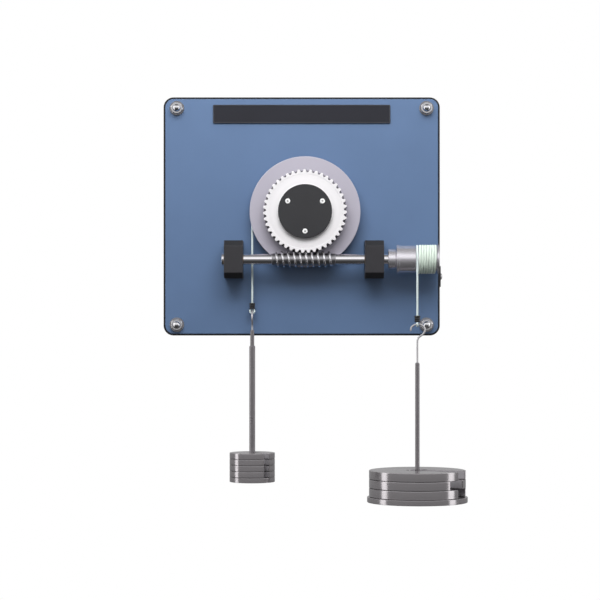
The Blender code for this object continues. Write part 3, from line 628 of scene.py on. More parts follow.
ring = [(WHEEL_X + COIL_R * math.cos(2 * math.pi * k / 180), -GROOVE_Y, WHEEL_Z + COIL_R * math.sin(2 * math.pi * k / 180))
        for k in range(181)]
wound = tube("load_line_turn", ring, CORD_R, 14, at=(WHEEL_X, -GROOVE_Y, WHEEL_Z), caps=False)
bm = bmesh.new()
bm.from_mesh(wound.data)
bmesh.ops.remove_doubles(bm, verts=bm.verts, dist=1e-6)
bm.to_mesh(wound.data)
bm.free()
wound.data.shade_smooth()
give(wound, "cord", "wheel", "load_cord_winding")



def wound_cord(name, n_turn=84, sides=16, half_w=1.40, half_h=1.17):
    """The cord on the drum: it leaves at the front of the first turn and lies turn against turn."""
    count = int((turns - lead_turn) * n_turn)
    verts, faces, uv = [], [], []
    for i in range(count + 1):
        t = (lead_turn + (turns - lead_turn) * i / count) / turns
        a = math.radians(180) - 2 * math.pi * turns * t
        ease = min(1.0, i / (0.5 * n_turn))
        x = EFFORT_X + lay * turns * t + ease * (0.25 + 0.10 * math.sin(2.1 * a) + 0.05 * math.sin(5.3 * a))
        end = 1.0 if t < 0.985 else 1.0 - 0.7 * ((t - 0.985) / 0.015) ** 2
        first = min(1.0, i / (0.35 * n_turn))
        w = (CORD_R + (half_w - CORD_R) * first) * end
        h = (CORD_R + (half_h - CORD_R) * first) * end
        r0 = EFFORT_R - (1.0 - end) * 0.9 + 0.03 * math.sin(3.3 * a)
        for k in range(sides):
            f = 2 * math.pi * k / sides
            r = r0 + h * math.sin(f)
            verts.append((x + w * math.cos(f), r * math.cos(a), r * math.sin(a)))
            uv.append((2 * math.pi * EFFORT_R * turns * t, k / sides))
    for i in range(count):
        for k in range(sides):
            j = (k + 1) % sides
            faces.append((i * sides + k, i * sides + j, (i + 1) * sides + j, (i + 1) * sides + k))
    faces.append(tuple(range(sides))[::-1])
    faces.append(tuple(range(count * sides, (count + 1) * sides)))
    o = new_object(name, verts, faces, (0, AXIS_Y, SHAFT_Z), sharp=60)
    layer = o.data.uv_layers.new(name="along")
    for poly in o.data.polygons:
        ks = [o.data.loops[li].vertex_index % sides for li in poly.loop_indices]
        wrap = len(ks) == 4 and max(ks) == sides - 1 and min(ks) == 0
        for li, k in zip(poly.loop_indices, ks):
            u, v = uv[o.data.loops[li].vertex_index]
            layer.data[li].uv = (u, 1.0 if wrap and k == 0 else v)
    return o


give(wound_cord("effort_line_turns"), "cord", "worm", "effort_cord_winding")

# ------------------------------------------------------------------ panel ---
board = slab("panel_board", PANEL_W, PANEL_H, PANEL_R, -0.0, -BOARD_T, 0.45)
for bx in (BLOCK_XL, BLOCK_XR):
    for dz in (-13, 13):
        board = cut(board, lathe("tool", [(0, 6), (4.8, 6), (4.8, -2), (0, -2)], (bx, 0, SHAFT_Z + dz), ALONG_DEPTH, 40))
for sx in (-1, 1):
    for sz in (-1, 1):
        board = cut(board, lathe("tool", [(0, 4), (4.2, 4), (4.2, -2), (0, -2)], (sx * FIX_X, 0, sz * FIX_Z), ALONG_DEPTH, 32))
give(board, "board", "panel", "back_board")
sheet = slab("blue_face", PANEL_W - 2 * SHEET_INSET, PANEL_H - 2 * SHEET_INSET, PANEL_R - SHEET_INSET, -BOARD_T + 0.02, -FRONT, 0.45)
give(sheet, "blue", "panel", "face_sheet")


def strip_plate():
    """The dark strip: a raised rim round a slightly sunk field."""
    y0, y1 = -FRONT + 0.02, -FRONT - GAP - STRIP_T
    rings = []
    for y, inset in ((y0, 0), (y1 + 0.35, 0), (y1 + 0.08, 0.12), (y1, 0.4), (y1, 1.0), (y1 + 0.3, 1.25)):
        rings.append([(x, y, z + STRIP_Z) for x, z in rounded_rect(STRIP_W - 2 * inset, STRIP_H - 2 * inset, max(0.3, 1.2 - inset * 0.5), 6)])
    frame_part = loft("title_strip_rim", rings)
    give(frame_part, "strip_rim", "panel", "title_strip")
    field = slab("title_strip_field", STRIP_W - 2.4, STRIP_H - 2.4, 0.6, y0, y1 + 0.28, 0.05, (0, STRIP_Z), 6)
    give(field, "strip", "panel", None)


strip_plate()

HEX = 6.55


def hex_radius(a, flat):
    s = math.radians(60)
    k = (a % s) - s / 2
    return flat / math.cos(k)


def dome_nut(i, x, z):
    """A flanged dome nut: washer face, chamfered hexagon and ball."""
    top = FRONT + GAP - 0.28
    washer = lathe(f"corner_washer_{i}", [(4.2, top), (FLANGE, top), (FLANGE, top + 1.25), (4.2, top + 1.25)],
                   (x, 0, z), ALONG_DEPTH, 72, closed=True, radius=0.3)
    give(washer, "washer", "panel", None)
    base, height = top + 1.25, 6.0
    n, verts, faces = 120, [], []
    levels = [(0.0, 0.93), (0.35, 1.0), (height - 1.5, 1.0), (height - 0.9, 0.97), (height - 0.25, 0.90), (height, 0.84)]
    for h, cone in levels:
        for k in range(n):
            a = 2 * math.pi * k / n
            r = min(hex_radius(a + 0.2 * i, HEX), HEX / math.cos(math.radians(30)) * cone)
            verts.append((r * math.cos(a), r * math.sin(a), base + h))
    ball = 4.7
    foot = len(levels)
    ring_h = [(ball + 0.15, height), (ball, height + 0.35)]
    for a in [10 * q for q in range(1, 9)]:
        ring_h.append((ball * math.cos(math.radians(a)), height + 0.35 + ball * math.sin(math.radians(a))))
    for r, h in ring_h:
        for k in range(n):
            a = 2 * math.pi * k / n
            verts.append((r * math.cos(a), r * math.sin(a), base + h))
    rows = len(levels) + len(ring_h)
    for q in range(rows - 1):
        for k in range(n):
            j = (k + 1) % n
            faces.append((q * n + k, q * n + j, (q + 1) * n + j, (q + 1) * n + k))
    verts.append((0, 0, base + height + 0.35 + ball))
    for k in range(n):
        faces.append(((rows - 1) * n + k, (rows - 1) * n + (k + 1) % n, len(verts) - 1))
    faces.append(tuple(range(n))[::-1])
    nut = weigh(new_object(f"corner_dome_nut_{i}", verts, faces, (x, 0, z), ALONG_DEPTH, sharp=24))
    give(nut, "chrome", "panel", f"corner_nut_{i}")


FLANGE = 8.6
i = 0
for sz in (1, -1):
    for sx in (-1, 1):
        i += 1
        dome_nut(i, sx * FIX_X, sz * FIX_Z)
        stud = lathe(f"stud_end_{i}", [(0, 0.5), (3.0, 0.5), (STUD_R, 1.3), (STUD_R, FRONT + 8), (0, FRONT + 8)],
                     (sx * FIX_X, 0, sz * FIX_Z), ALONG_DEPTH, 48, radius=0.15)
        give(stud, "shaft", "panel", f"corner_stud_{i}")


def socket_screw(name, at, node, turn=ALONG_DEPTH, r=4.4, head=(0.6, 5.6), shank=2.4, end=28.0):
    o = lathe(name, [(0, end), (shank - 0.4, end), (shank, end - 0.5), (shank, head[1]), (r, head[1]), (r, head[0] + 0.2), (r - 0.3, head[0]), (0, head[0])],
              at, turn, 56, radius=0.18)
    hexa = lathe("tool", [(0, head[0] + 2.6), (2.3, head[0] + 2.6), (2.3, head[0] - 1), (0, head[0] - 1)], at, turn, 6)
    o = cut(o, hexa)
    return give(o, "black_steel", "panel", node)


k = 0
for side, bx in (("left", BLOCK_XL), ("right", BLOCK_XR)):
    depth = BLOCK_FRONT - FRONT
    w, h = BLOCK_W / 2, BLOCK_H / 2
    y0, y1, c = -FRONT + 0.02, -BLOCK_FRONT, BLOCK_CH
    outline = fillet([(y0, h), (y1 + c, h), (y1, h - c), (y1, -h + c), (y1 + c, -h), (y0, -h)], [0.2, 0.7, 0.7, 0.7, 0.7, 0.2], True, 4)
    cy, cz = (y0 + y1) / 2, 0.0
    rings = []
    for x, inset in ((-w, 0.7), (-w + 0.2, 0.22), (-w + 0.7, 0), (w - 0.7, 0), (w - 0.2, 0.22), (w, 0.7)):
        ky, kz = 1 - inset / (depth / 2), 1 - inset / h
        rings.append([(bx + x, cy + (y - cy) * ky, SHAFT_Z + z * kz) for y, z in outline])
    block = loft(f"block_{side}", rings)
    block = cut(block, lathe("tool", [(0, -20), (BUSH_R + 0.05, -20), (BUSH_R + 0.05, 20), (0, 20)], (bx, AXIS_Y, SHAFT_Z), ALONG_X, 64))
    give(block, "block", "panel", f"bearing_block_{side}")
    # painted shade: the top and bottom chamfers take the darker copy of the block paint
    block.data.materials.append(M["block_bevel"])
    for poly in block.data.polygons:
        if poly.normal.y < 0.05 and abs(poly.normal.z) > 0.45 and abs(poly.normal.x) < 0.3:
            poly.material_index = 1
    bush = lathe(f"bush_{side}", [(JOURNAL_R + 0.15, bx - w + 0.2), (BUSH_R, bx - w + 0.2), (BUSH_R, bx + w - 0.2), (JOURNAL_R + 0.15, bx + w - 0.2)],
                 (0, AXIS_Y, SHAFT_Z), ALONG_X, 64, closed=True, radius=0.4)
    give(bush, "bronze", "panel", f"shaft_bush_{side}")
    for dz in (-13, 13):
        k += 1
        socket_screw(f"socket_screw_{k}", (bx, 0, SHAFT_Z + dz), f"block_screw_{k}")

edge_at = (0, -BOARD_T / 2, -72.0)
rings = []
for x, inset in ((PANEL_W / 2 - 0.1, 0), (PANEL_W / 2 + 1.0, 0), (PANEL_W / 2 + 1.25, 0.1), (PANEL_W / 2 + 1.3, 0.35)):
    rings.append([(x, edge_at[1] + u, edge_at[2] + v) for u, v in rounded_rect(12 - 2 * inset, 25 - 2 * inset, 1.6, 6)])
give(loft("side_plate", rings), "block", "panel", "edge_plate")
side_screw = lathe("side_screw", [(0, 168.9), (1.6, 168.85), (2.9, 168.4), (3.9, 167.6), (3.9, 166.95), (1.5, 166.95), (1.5, 160), (0, 160)],
                   edge_at, ALONG_X, 48, radius=0.2)
side_screw = cut(side_screw, block_of("tool", (1.6, 1.1, 9.0), (169.2, edge_at[1], edge_at[2]), (math.radians(35), 0, 0)))
give(side_screw, "chrome", "panel", "edge_screw")

# ------------------------------------------------------------------ wheel ---
on_wheel = (WHEEL_X, 0, WHEEL_Z)
drum = lathe("load_disc", [
    (14.2, DRUM_BACK), (DRUM_R, DRUM_BACK), (DRUM_R, GROOVE_Y - 3.2), (GROOVE_FLOOR, GROOVE_Y - 2.0), (GROOVE_FLOOR, GROOVE_Y + 2.0),
    (DRUM_R, GROOVE_Y + 3.2), (DRUM_R, DRUM_FRONT), (48.9, DRUM_FRONT), (30.0, DRUM_FRONT), (30.0, 39.9), (14.2, 39.9)],
    on_wheel, ALONG_DEPTH, 192, closed=True, radius=[0.3, 0.7, 0.4, 0.6, 0.6, 0.4, 0.9, 0, 0.8, 0.3, 0.2])
give(drum, "disc", "wheel", "load_drum")
# painted shade: the drum face behind the toothed wheel, out to just past the tooth roots, takes a dark colour that
# stands in for the shadow seen through the tooth gaps
drum.data.materials.append(M["seat"])
for poly in drum.data.polygons:
    if abs(poly.normal.z) > 0.9 and abs(abs(poly.center.z) - DRUM_FRONT * MM) < 0.3 * MM and math.hypot(poly.center.x, poly.center.y) < 48.6 * MM:
        poly.material_index = 1


def tooth_points(r_in, r_out, half_in, half_out, shift, tips=5, roots=4):
    """The toothed outline with rounded tips and roots, in X and Z."""
    out = []
    p = 2 * math.pi / TEETH
    for q in range(TEETH):
        mid = -math.pi / 2 + (q + 0.5) * p + shift
        a0, a1 = half_in / r_in, half_out / r_out
        prof = [(r_in, -a0 - 0.12 / r_in), (r_in + 0.12, -a0 + 0.10 / r_in), (r_in + 0.4, -(a0 + (a1 - a0) * 0.17))]
        prof += [(r_in + (r_out - r_in) * f, -(a0 + (a1 - a0) * f)) for f in (0.5, 0.8)]
        prof += [(r_out - 0.22, -a1 * 1.0), (r_out - 0.05, -a1 * 0.86), (r_out, -a1 * 0.66), (r_out + 0.01, 0.0)]
        prof += [(r, -a) for r, a in reversed(prof[:-1])]
        out += [(r * math.cos(mid + a), r * math.sin(mid + a)) for r, a in prof]
    return out


def wheel_teeth():
    b = WHEEL_B / 2
    layers = []
    for y, dr in ((AXIS_Y + b, 0.55), (AXIS_Y + b - 0.5, 0.0), (AXIS_Y, 0.0), (AXIS_Y - b + 0.5, 0.0), (AXIS_Y - b, 0.55)):
        shift = -LEAD_TAN * (y - AXIS_Y) / WHEEL_RP
        layers.append([(x, y - AXIS_Y, z) for x, z in
                       tooth_points(WHEEL_ROOT - dr * 0.4, WHEEL_TIP - dr, ROOT_HALF + 0.14 - dr * 0.15, TIP_HALF - 0.34 - dr * 0.25, shift)])
    n = len(layers[0])
    verts = [p for l in layers for p in l]
    faces = []
    for q in range(len(layers) - 1):
        for k in range(n):
            j = (k + 1) % n
            faces.append((q * n + k, q * n + j, (q + 1) * n + j, (q + 1) * n + k))
    # flat faces: rings between the teeth and the bore, with a shallow turned recess
    m = TEETH * 4
    per = n // TEETH

    def circle(r, y):
        start = len(verts)
        verts.extend((r * math.cos(-math.pi / 2 + 2 * math.pi * k / m), y, r * math.sin(-math.pi / 2 + 2 * math.pi * k / m)) for k in range(m))
        return start

    ends = []
    for li, y in ((0, b), (len(layers) - 1, -b)):
        s = -1 if y > 0 else 1
        outer = circle(WHEEL_ROOT - 1.6, y)
        # join the toothed outline to the first circle, tooth by tooth
        for q in range(TEETH):
            rim = [li * n + q * per + c for c in range(per)] + [li * n + ((q + 1) * per) % n]
            inner = [outer + (q * 4 + c) % m for c in range(5)]
            faces.append(tuple(rim + inner[::-1]))
        rows = [outer]
        for r, dy in ((WHEEL_ROOT - 1.9, 0.0), (WHEEL_ROOT - 2.2, 0.25), (CAP_R + 0.9, 0.25), (CAP_R + 0.5, 0.0), (14.9, 0.0), (14.3, 0.4)):
            rows.append(circle(r, y + s * dy))
        for a, c in zip(rows, rows[1:]):
            for k in range(m):
                j = (k + 1) % m
                faces.append((a + k, a + j, c + j, c + k))
        ends.append(rows[-1])
    for k in range(m):
        j = (k + 1) % m
        faces.append((ends[0] + k, ends[0] + j, ends[1] + j, ends[1] + k))
    # its local Z is the wheel's axis, so that the turning marks run round it
    verts = [(x, z, -y) for x, y, z in verts]
    return weigh(new_object("toothed_wheel", verts, faces, (WHEEL_X, AXIS_Y, WHEEL_Z), ALONG_DEPTH, sharp=28))


gear = give(wheel_teeth(), "wheel", "wheel", "worm_wheel")
# painted shade: the tooth sides take the darkened metal, so the gaps between the teeth read dark
gear.data.materials.append(M["flank"])
for poly in gear.data.polygons:
    if abs(poly.normal.z) < 0.5 and math.hypot(poly.center.x, poly.center.y) > (WHEEL_ROOT - 0.6) * MM:
        poly.material_index = 1

cap = lathe("cap_disc", [(0, 54.8), (CAP_R - 1.4, 54.8), (CAP_R, 54.8), (CAP_R, 50.05), (CAP_R - 1.0, 50.05), (0, 50.05)], on_wheel, ALONG_DEPTH, 160, radius=[0, 0, 0.8, 0.2, 0, 0])
for i, a in enumerate((150, 30, 270), 1):
    at = (WHEEL_X + CAP_PCR * math.cos(deg(a)), 0, WHEEL_Z + CAP_PCR * math.sin(deg(a)))
    cap = cut(cap, lathe("tool", [(0, 60), (3.25, 60), (3.25, 54.45), (2.1, 53.0), (2.1, 45), (0, 45)], at, ALONG_DEPTH, 48))
    screw = lathe(f"cross_screw_{i}", [(0, 54.8), (2.2, 54.78), (2.75, 54.7), (3.05, 54.5), (3.05, 54.35), (2.0, 53.2), (2.0, 36), (0, 36)],
                  at, ALONG_DEPTH, 64, radius=[0, 0, 0.2, 0.1, 0.1, 0.1, 0.1, 0])
    for t in (0, 90):
        screw = cut(screw, block_of("tool", (2.7, 2.6, 0.62), (at[0], -54.8, at[2]), (0, math.radians(t + 20 * i), 0)))
    give(screw, "screw", "wheel", f"cap_screw_{i}")
    # painted shade: the floor of each cross recess takes the black steel colour, standing in for the shade in the
    # recess
    screw.data.materials.append(M["black_steel"])
    for poly in screw.data.polygons:
        if 53.3 < poly.center.z / MM < 54.6 and math.hypot(poly.center.x, poly.center.y) < 1.5 * MM:
            poly.material_index = 1
give(cap, "cap", "wheel", "hub_cap")

hub = lathe("hub_sleeve", [(9.15, 21.4), (14.0, 21.4), (14.0, 48.8), (9.15, 48.8)], on_wheel, ALONG_DEPTH, 72, closed=True, radius=0.4)
give(hub, "shaft", "wheel", "wheel_hub")
bush = lathe("hub_bush", [(7.15, 21.2), (9.1, 21.2), (9.1, 48.8), (7.15, 48.8)], on_wheel, ALONG_DEPTH, 64, closed=True, radius=0.3)
give(bush, "bronze", "wheel", "wheel_bush")
spindle = lathe("fixed_spindle", [(0, 5.0), (6.0, 5.0), (6.0, FRONT), (20.0, FRONT), (20.0, FRONT + 2.9), (11.0, FRONT + 2.9),
                                  (11.0, 20.9), (7.0, 20.9), (7.0, 48.9), (0, 48.9)], on_wheel, ALONG_DEPTH, 80, radius=0.35)
give(spindle, "shaft", "panel", "wheel_spindle")
M_hidden = {"retaining_washer": "shaft", "retaining_screw": "black_steel", "grub_screw": "black_steel"}
for node, key in M_hidden.items():
    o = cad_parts[node]
    o.data.materials.clear()
    o.data.materials.append(M[key])

# ------------------------------------------------------------------- worm ---
on_worm = (0, AXIS_Y, SHAFT_Z)
shaft = lathe("shaft", [
    (0, SHAFT_X1 - 0.9), (1.2, SHAFT_X1), (JOURNAL_R, SHAFT_X1), (JOURNAL_R, BLOCK_XR - BLOCK_W / 2 - 0.3), (SHAFT_R, BLOCK_XR - BLOCK_W / 2 - 0.3),
    (SHAFT_R, BLOCK_XL + BLOCK_W / 2 + 0.3), (JOURNAL_R, BLOCK_XL + BLOCK_W / 2 + 0.3), (JOURNAL_R, SHAFT_X0), (1.2, SHAFT_X0), (0, SHAFT_X0 + 0.9)],
    on_worm, ALONG_X, 96, radius=0.45)
give(shaft, "shaft", "worm", "worm_shaft")


def worm_mesh(n=72):
    """One right-hand ridge with rounded crests, run out to nothing at both ends."""
    base = 2 * FLANK + CREST
    start = WORM_X0 + 0.8
    m = int((WORM_X1 - 0.8 - base - start) / PITCH * 20) * n // 20
    turn0 = math.pi / 2 - 2 * math.pi * (WHEEL_X - base / 2 - start) / PITCH
    verts, faces = [], []
    rise_h = WORM_TIP - WORM_ROOT
    section = [(0.0, 0.0), (0.16, 0.14), (0.36, 0.55), (0.60, 0.88), (0.86, 0.975), (1.22, 1.0)]
    section += [(base - u, h) for u, h in reversed(section)]
    w = len(section)

    def vert(x, r, i):
        a = turn0 + 2 * math.pi * i / n
        verts.append((x, r * math.cos(a), r * math.sin(a)))
        return len(verts) - 1

    cols = []
    for s in range(m + 1):
        rise = min(1.0, s / (n * 0.5), (m - s) / (n * 0.5))
        rise = rise * rise * (3 - 2 * rise)
        x = start + PITCH * s / n
        cols.append([vert(x + u, WORM_ROOT + rise_h * h * rise, s) for u, h in section])
    ends = []
    for x, r in ((WORM_X0, WORM_ROOT), (WORM_X0, SHAFT_R + 0.05), (WORM_X1, WORM_ROOT), (WORM_X1, SHAFT_R + 0.05),
                 (WORM_X0 + 0.0, WORM_ROOT - 0.35), (WORM_X1, WORM_ROOT - 0.35), (WORM_X0 + 0.35, WORM_ROOT), (WORM_X1 - 0.35, WORM_ROOT)):
        ends.append([vert(x, r, i) for i in range(n)])
    _, left_in, _, right_in, left_lip, right_lip, left, right = ends
    for s in range(m):
        a, b = cols[s], cols[s + 1]
        for j in range(w - 1):
            faces.append((a[j], a[j + 1], b[j + 1], b[j]))
        if s + n < m:
            faces.append((a[-1], cols[s + n][0], cols[s + n + 1][0], b[-1]))
    for i in range(n):
        j = (i + 1) % n
        if i < n - 1:
            faces.append((left[i], cols[i][0], cols[i + 1][0], left[j]))
        else:
            faces.append(tuple([left[i], cols[i][0], cols[n][0]] + cols[0][::-1] + [left[j]]))
        s = m - n + i
        p, q = s % n, (s + 1) % n
        if i > 0:
            faces.append((cols[s][-1], right[p], right[q], cols[s + 1][-1]))
        else:
            faces.append(tuple([cols[s][-1]] + cols[m] + [right[p], right[q], cols[s + 1][-1]]))
        for lip, inner, outer in ((left_lip, left_in, left), (right_lip, right_in, right)):
            faces.append((outer[i], outer[j], lip[j], lip[i]))
            faces.append((lip[i], lip[j], inner[j], inner[i]))
        faces.append((right_in[i], left_in[i], left_in[j], right_in[j]))
    # local Z becomes the worm's axis
    verts = [(-z, y, x) for x, y, z in verts]
    used = sorted({v for f in faces for v in f})
    index = {v: k for k, v in enumerate(used)}
    return new_object("worm_thread", [verts[v] for v in used], [tuple(index[v] for v in f) for f in faces], on_worm, ALONG_X, sharp=50)


give(worm_mesh(), "worm", "worm", "worm")

collar = lathe("shaft_collar", [(JOURNAL_R - 0.05, SHAFT_X0), (7.5, SHAFT_X0), (7.5, BLOCK_XL - BLOCK_W / 2 - 0.15), (JOURNAL_R - 0.05, BLOCK_XL - BLOCK_W / 2 - 0.15)],
               on_worm, ALONG_X, 72, closed=True, radius=0.35)
give(collar, "chrome", "worm", "end_collar")
spacer = lathe("spacer_sleeve", [(JOURNAL_R + 0.02, BLOCK_XR + BLOCK_W / 2 + 0.2), (6.5, BLOCK_XR + BLOCK_W / 2 + 0.2), (6.5, HUB_X - 0.05), (JOURNAL_R + 0.02, HUB_X - 0.05)],
               on_worm, ALONG_X, 72, closed=True, radius=0.3)
give(spacer, "shaft", "worm", "drum_spacer")
drum = lathe("cord_drum", [
    (JOURNAL_R + 0.02, HUB_X), (12.0, HUB_X), (12.0, 111.2), (10.8, 111.5), (10.8, 112.3), (17.1, 112.4), (17.1, 115.6), (16.2, 115.7),
    (16.2, 134.8), (SEAT_R, 134.9), (SEAT_R, 160.4), (17.6, 160.4), (17.6, 162.6), (JOURNAL_R + 0.02, 162.6)],
    on_worm, ALONG_X, 128, closed=True,
    radius=[0.2, 0.7, 0.4, 0.1, 0.1, 0.45, 0.4, 0.1, 0.4, 0.2, 0.3, 0.5, 0.5, 0.4])
drum = cut(drum, lathe("tool", [(0, 8), (2.15, 8), (2.15, 16), (0, 16)], (107.0, AXIS_Y, SHAFT_Z), (-math.pi / 2, 0, 0), 32))
give(drum, "drum", "worm", "effort_drum")

# ---------------------------------------------------------------- hangers ---
rod = lathe("load_stem", [(0, -136.0), (1.9, -136.0), (2.4, -136.9), (2.4, -154.6), (3.5, -155.6), (3.5, LOAD_BASE_BOTTOM + 0.25), (0, LOAD_BASE_BOTTOM + 0.25)],
            (LOAD_X, -GROOVE_Y, 0), UPRIGHT, 64, radius=0.35)
give(rod, "rod", "load_hanger", "load_rod")
rod = lathe("effort_stem", [(0, -174.0), (1.7, -174.0), (2.6, -175.2), (2.6, EFF_BASE_BOTTOM + 0.25), (0, EFF_BASE_BOTTOM + 0.25)],
            (EFFORT_X, EFFORT_Y, 0), UPRIGHT, 64, radius=0.35)
give(rod, "rod", "effort_hanger", "effort_rod")
base = lathe("load_foot", [(3.6, LOAD_BASE_BOTTOM + LOAD_BASE_T), (LOAD_R_OUT, LOAD_BASE_BOTTOM + LOAD_BASE_T), (LOAD_R_OUT, LOAD_BASE_BOTTOM), (3.6, LOAD_BASE_BOTTOM)],
             (LOAD_X, -GROOVE_Y, 0), UPRIGHT, 128, closed=True, radius=0.55)
give(base, "weight", "load_hanger", "load_base")
base = lathe("effort_foot", [(2.7, EFF_BASE_BOTTOM + EFF_BASE_T), (EFF_BASE_R, EFF_BASE_BOTTOM + EFF_BASE_T), (EFF_BASE_R, EFF_BASE_BOTTOM), (2.7, EFF_BASE_BOTTOM)],
             (EFFORT_X, EFFORT_Y, 0), UPRIGHT, 192, closed=True, radius=0.7)
give(base, "weight", "effort_hanger", "effort_base")


def slot_outline(radius, width, deg_, inset, n_out, n_in):
    """Outline of a slotted disc drawn in by inset, always with as many points."""
    r, half = radius - inset, width / 2 + inset
    soft = 0.9                                  # rounding where the slot meets the rim
    open_a = math.asin((half + soft) / r)
    out = [(r * math.cos(t), r * math.sin(t)) for t in (open_a + (2 * math.pi - 2 * open_a) * k / n_out for k in range(n_out + 1))]
    edge_x = math.sqrt(r * r - (half + soft) ** 2)
    out += [(edge_x - soft * 0.45, -half - soft * 0.25), (edge_x - soft * 1.3, -half)]
    out += [(half * math.cos(t), half * math.sin(t)) for t in (1.5 * math.pi - math.pi * k / n_in for k in range(n_in + 1))]
    out += [(edge_x - soft * 1.3, half), (edge_x - soft * 0.45, half + soft * 0.25)]
    a = math.radians(deg_ - 90)
    return [(px * math.cos(a) - py * math.sin(a), px * math.sin(a) + py * math.cos(a)) for px, py in out]


def weight(name, node, radius, width, deg_, z0, z1, at, edge, n_out, n_in):
    rings = []
    for z, inset in ((z0, edge), (z0 + 0.3 * edge, 0.3 * edge), (z0 + edge, 0), (z1 - edge, 0), (z1 - 0.3 * edge, 0.3 * edge), (z1, edge)):
        rings.append([(x, y, z) for x, y in slot_outline(radius, width, deg_, inset, n_out, n_in)])
    o = loft(name, rings, (at[0], at[1], 0))
    give(o, "weight", node, node)
    o.data.materials.append(M["slot_cut"])
    for poly in o.data.polygons:
        c = poly.center / MM
        if abs(poly.normal.z) < 0.3 and math.hypot(c.x, c.y) < radius - 1.2:
            poly.material_index = 1
    return o


floor_z = LOAD_BASE_BOTTOM + LOAD_BASE_T
for k in range(LOAD_N):
    z0 = floor_z + 0.22 + k * (LOAD_T + GAP)
    weight(f"small_weight_{k + 1}", f"load_weight_{k + 1}", LOAD_R_OUT, LOAD_SLOT, LOAD_SLOT_DEG[k], z0, z0 + LOAD_T + 0.04, (LOAD_X, -GROOVE_Y), 0.5, 140, 24)
floor_z = EFF_BASE_BOTTOM + EFF_BASE_T
for k in range(EFF_N):
    z0 = floor_z + 0.22 + k * (EFF_T + GAP)
    weight(f"large_weight_{k + 1}", f"effort_weight_{k + 1}", EFF_R_OUT, EFF_SLOT, EFF_SLOT_DEG[k], z0, z0 + EFF_T + 0.04, (EFFORT_X, EFFORT_Y), 0.7, 180, 32)

# ------------------------------------------------------------------ stage ---
bpy.ops.mesh.primitive_circle_add(vertices=96, radius=1.7, fill_type="NGON", location=(0, 0, -0.92))
ground = bpy.context.object
ground.name = "studio_floor"
g = Mat("studio_floor", (0.80, 0.80, 0.80), 0.0, 0.7)
g.base(g.mix(g.range(g.noise(g.obj(), 3.0, 3.0), 0.0, 1.0, 0.3, 0.7), (0.79, 0.79, 0.79), (0.81, 0.81, 0.81)))
g.b.inputs["Emission Color"].default_value = (1, 1, 1, 1)
g.b.inputs["Emission Strength"].default_value = 0.55
ground.data.materials.append(g.m)
ground.visible_glossy = False
ground.visible_diffuse = False


def area(name, at, aim, size, power, colour=(1, 1, 1)):
    d = bpy.data.lights.new(name, "AREA")
    d.shape, d.size, d.size_y, d.energy, d.color = "RECTANGLE", size[0], size[1], power, colour
    o = bpy.data.objects.new(name, d)
    scene.collection.objects.link(o)
    o.location = at
    o.rotation_euler = (Vector(aim) - Vector(at)).to_track_quat("-Z", "Y").to_euler()
    return o


def panel_light(name, low, high, width, power, colour=(1, 1, 1)):
    """A softbox between two points of the X = 0 plane, facing the object."""
    low, high = Vector((0, *low)), Vector((0, *high))
    mid, along = (low + high) / 2, high - low
    o = area(name, mid, (0, -0.03, 0), (width, along.length), power, colour)
    z = -along.cross(Vector((1, 0, 0))).normalized()
    if z.dot(mid) < 0:
        z = -z
    x = Vector((1, 0, 0))
    o.rotation_euler = Matrix((x, z.cross(x), z)).transposed().to_euler()
    return o


panel_light("overhead", (-1.15, 0.44), (0.02, 0.92), 1.5, 7.5).visible_glossy = False
key = area("key", (-0.05, -0.72, 0.66), (0, -0.02, 0.02), (0.9, 0.5), 8.15)
key.visible_glossy = False
area("left_strip", (-1.30, -0.14, -0.20), (0, -0.06, -0.20), (0.42, 1.5), 4.2)
area("right_strip", (1.40, -0.20, -0.20), (0, -0.06, -0.20), (0.42, 1.5), 4.2)

world = bpy.data.worlds.new("studio")
scene.world = world
world.use_nodes = True
wt = world.node_tree
wt.nodes.clear()


def wnode(kind, **props):
    node = wt.nodes.new(kind)
    for k, v in props.items():
        setattr(node, k, v)
    return node


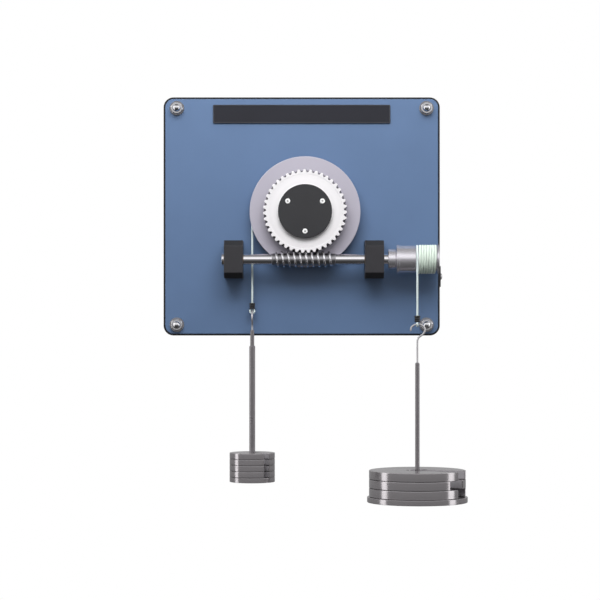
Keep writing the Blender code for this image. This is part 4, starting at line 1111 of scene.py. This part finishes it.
def wramp(fac, stops):
    node = wnode("ShaderNodeValToRGB")
    wt.links.new(fac, node.inputs[0])
    el = node.color_ramp.elements
    while len(el) < len(stops):
        el.new(0.5)
    for e, (pos, v) in zip(el, stops):
        e.position, e.color = pos, (v, v, v * 1.01, 1)
    return node.outputs[0]


def wrange(fac, a, b):
    node = wnode("ShaderNodeMapRange")
    wt.links.new(fac, node.inputs[0])
    node.inputs[1].default_value, node.inputs[2].default_value = a, b
    return node.outputs[0]


def wmix(fac, a, b):
    node = wnode("ShaderNodeMixShader")
    for i, v in enumerate((fac, a, b)):
        wt.links.new(v, node.inputs[i])
    return node.outputs[0]


def glow(colour, strength):
    node = wnode("ShaderNodeBackground")
    if isinstance(colour, tuple):
        node.inputs[0].default_value = colour
    else:
        wt.links.new(colour, node.inputs[0])
    node.inputs[1].default_value = strength
    return node.outputs[0]


out = wnode("ShaderNodeOutputWorld")
co = wnode("ShaderNodeTexCoord")
sep = wnode("ShaderNodeSeparateXYZ")
wt.links.new(co.outputs["Generated"], sep.inputs[0])
up = wrange(sep.outputs[2], -1.0, 1.0)
# reflections: dark low in front, a grey band at eye level, a bright window above it, pale behind
front = wramp(up, [(0.0, 0.03), (0.25, 0.05), (0.37, 0.16), (0.45, 0.22), (0.50, 0.25), (0.56, 0.60), (0.63, 0.96), (0.79, 0.96), (0.88, 0.50), (1.0, 0.16)])
behind = wramp(up, [(0.0, 0.06), (0.42, 0.20), (0.49, 0.42), (0.62, 0.46), (0.75, 0.34), (1.0, 0.08)])
back = wrange(sep.outputs[1], 0.05, 0.45)
mirror = wmix(back, glow(front, 1.25), glow(behind, 1.0))
soft = glow(wramp(up, [(0.0, 0.10), (0.40, 0.20), (0.55, 0.48), (0.8, 0.62), (1.0, 0.55)]), 0.46)
path_node = wnode("ShaderNodeLightPath")
lit = wmix(path_node.outputs["Is Glossy Ray"], soft, mirror)
wt.links.new(wmix(path_node.outputs["Is Camera Ray"], lit, glow((1, 1, 1, 1), 1.0)), out.inputs[0])
scene.view_settings.view_transform = "Standard"
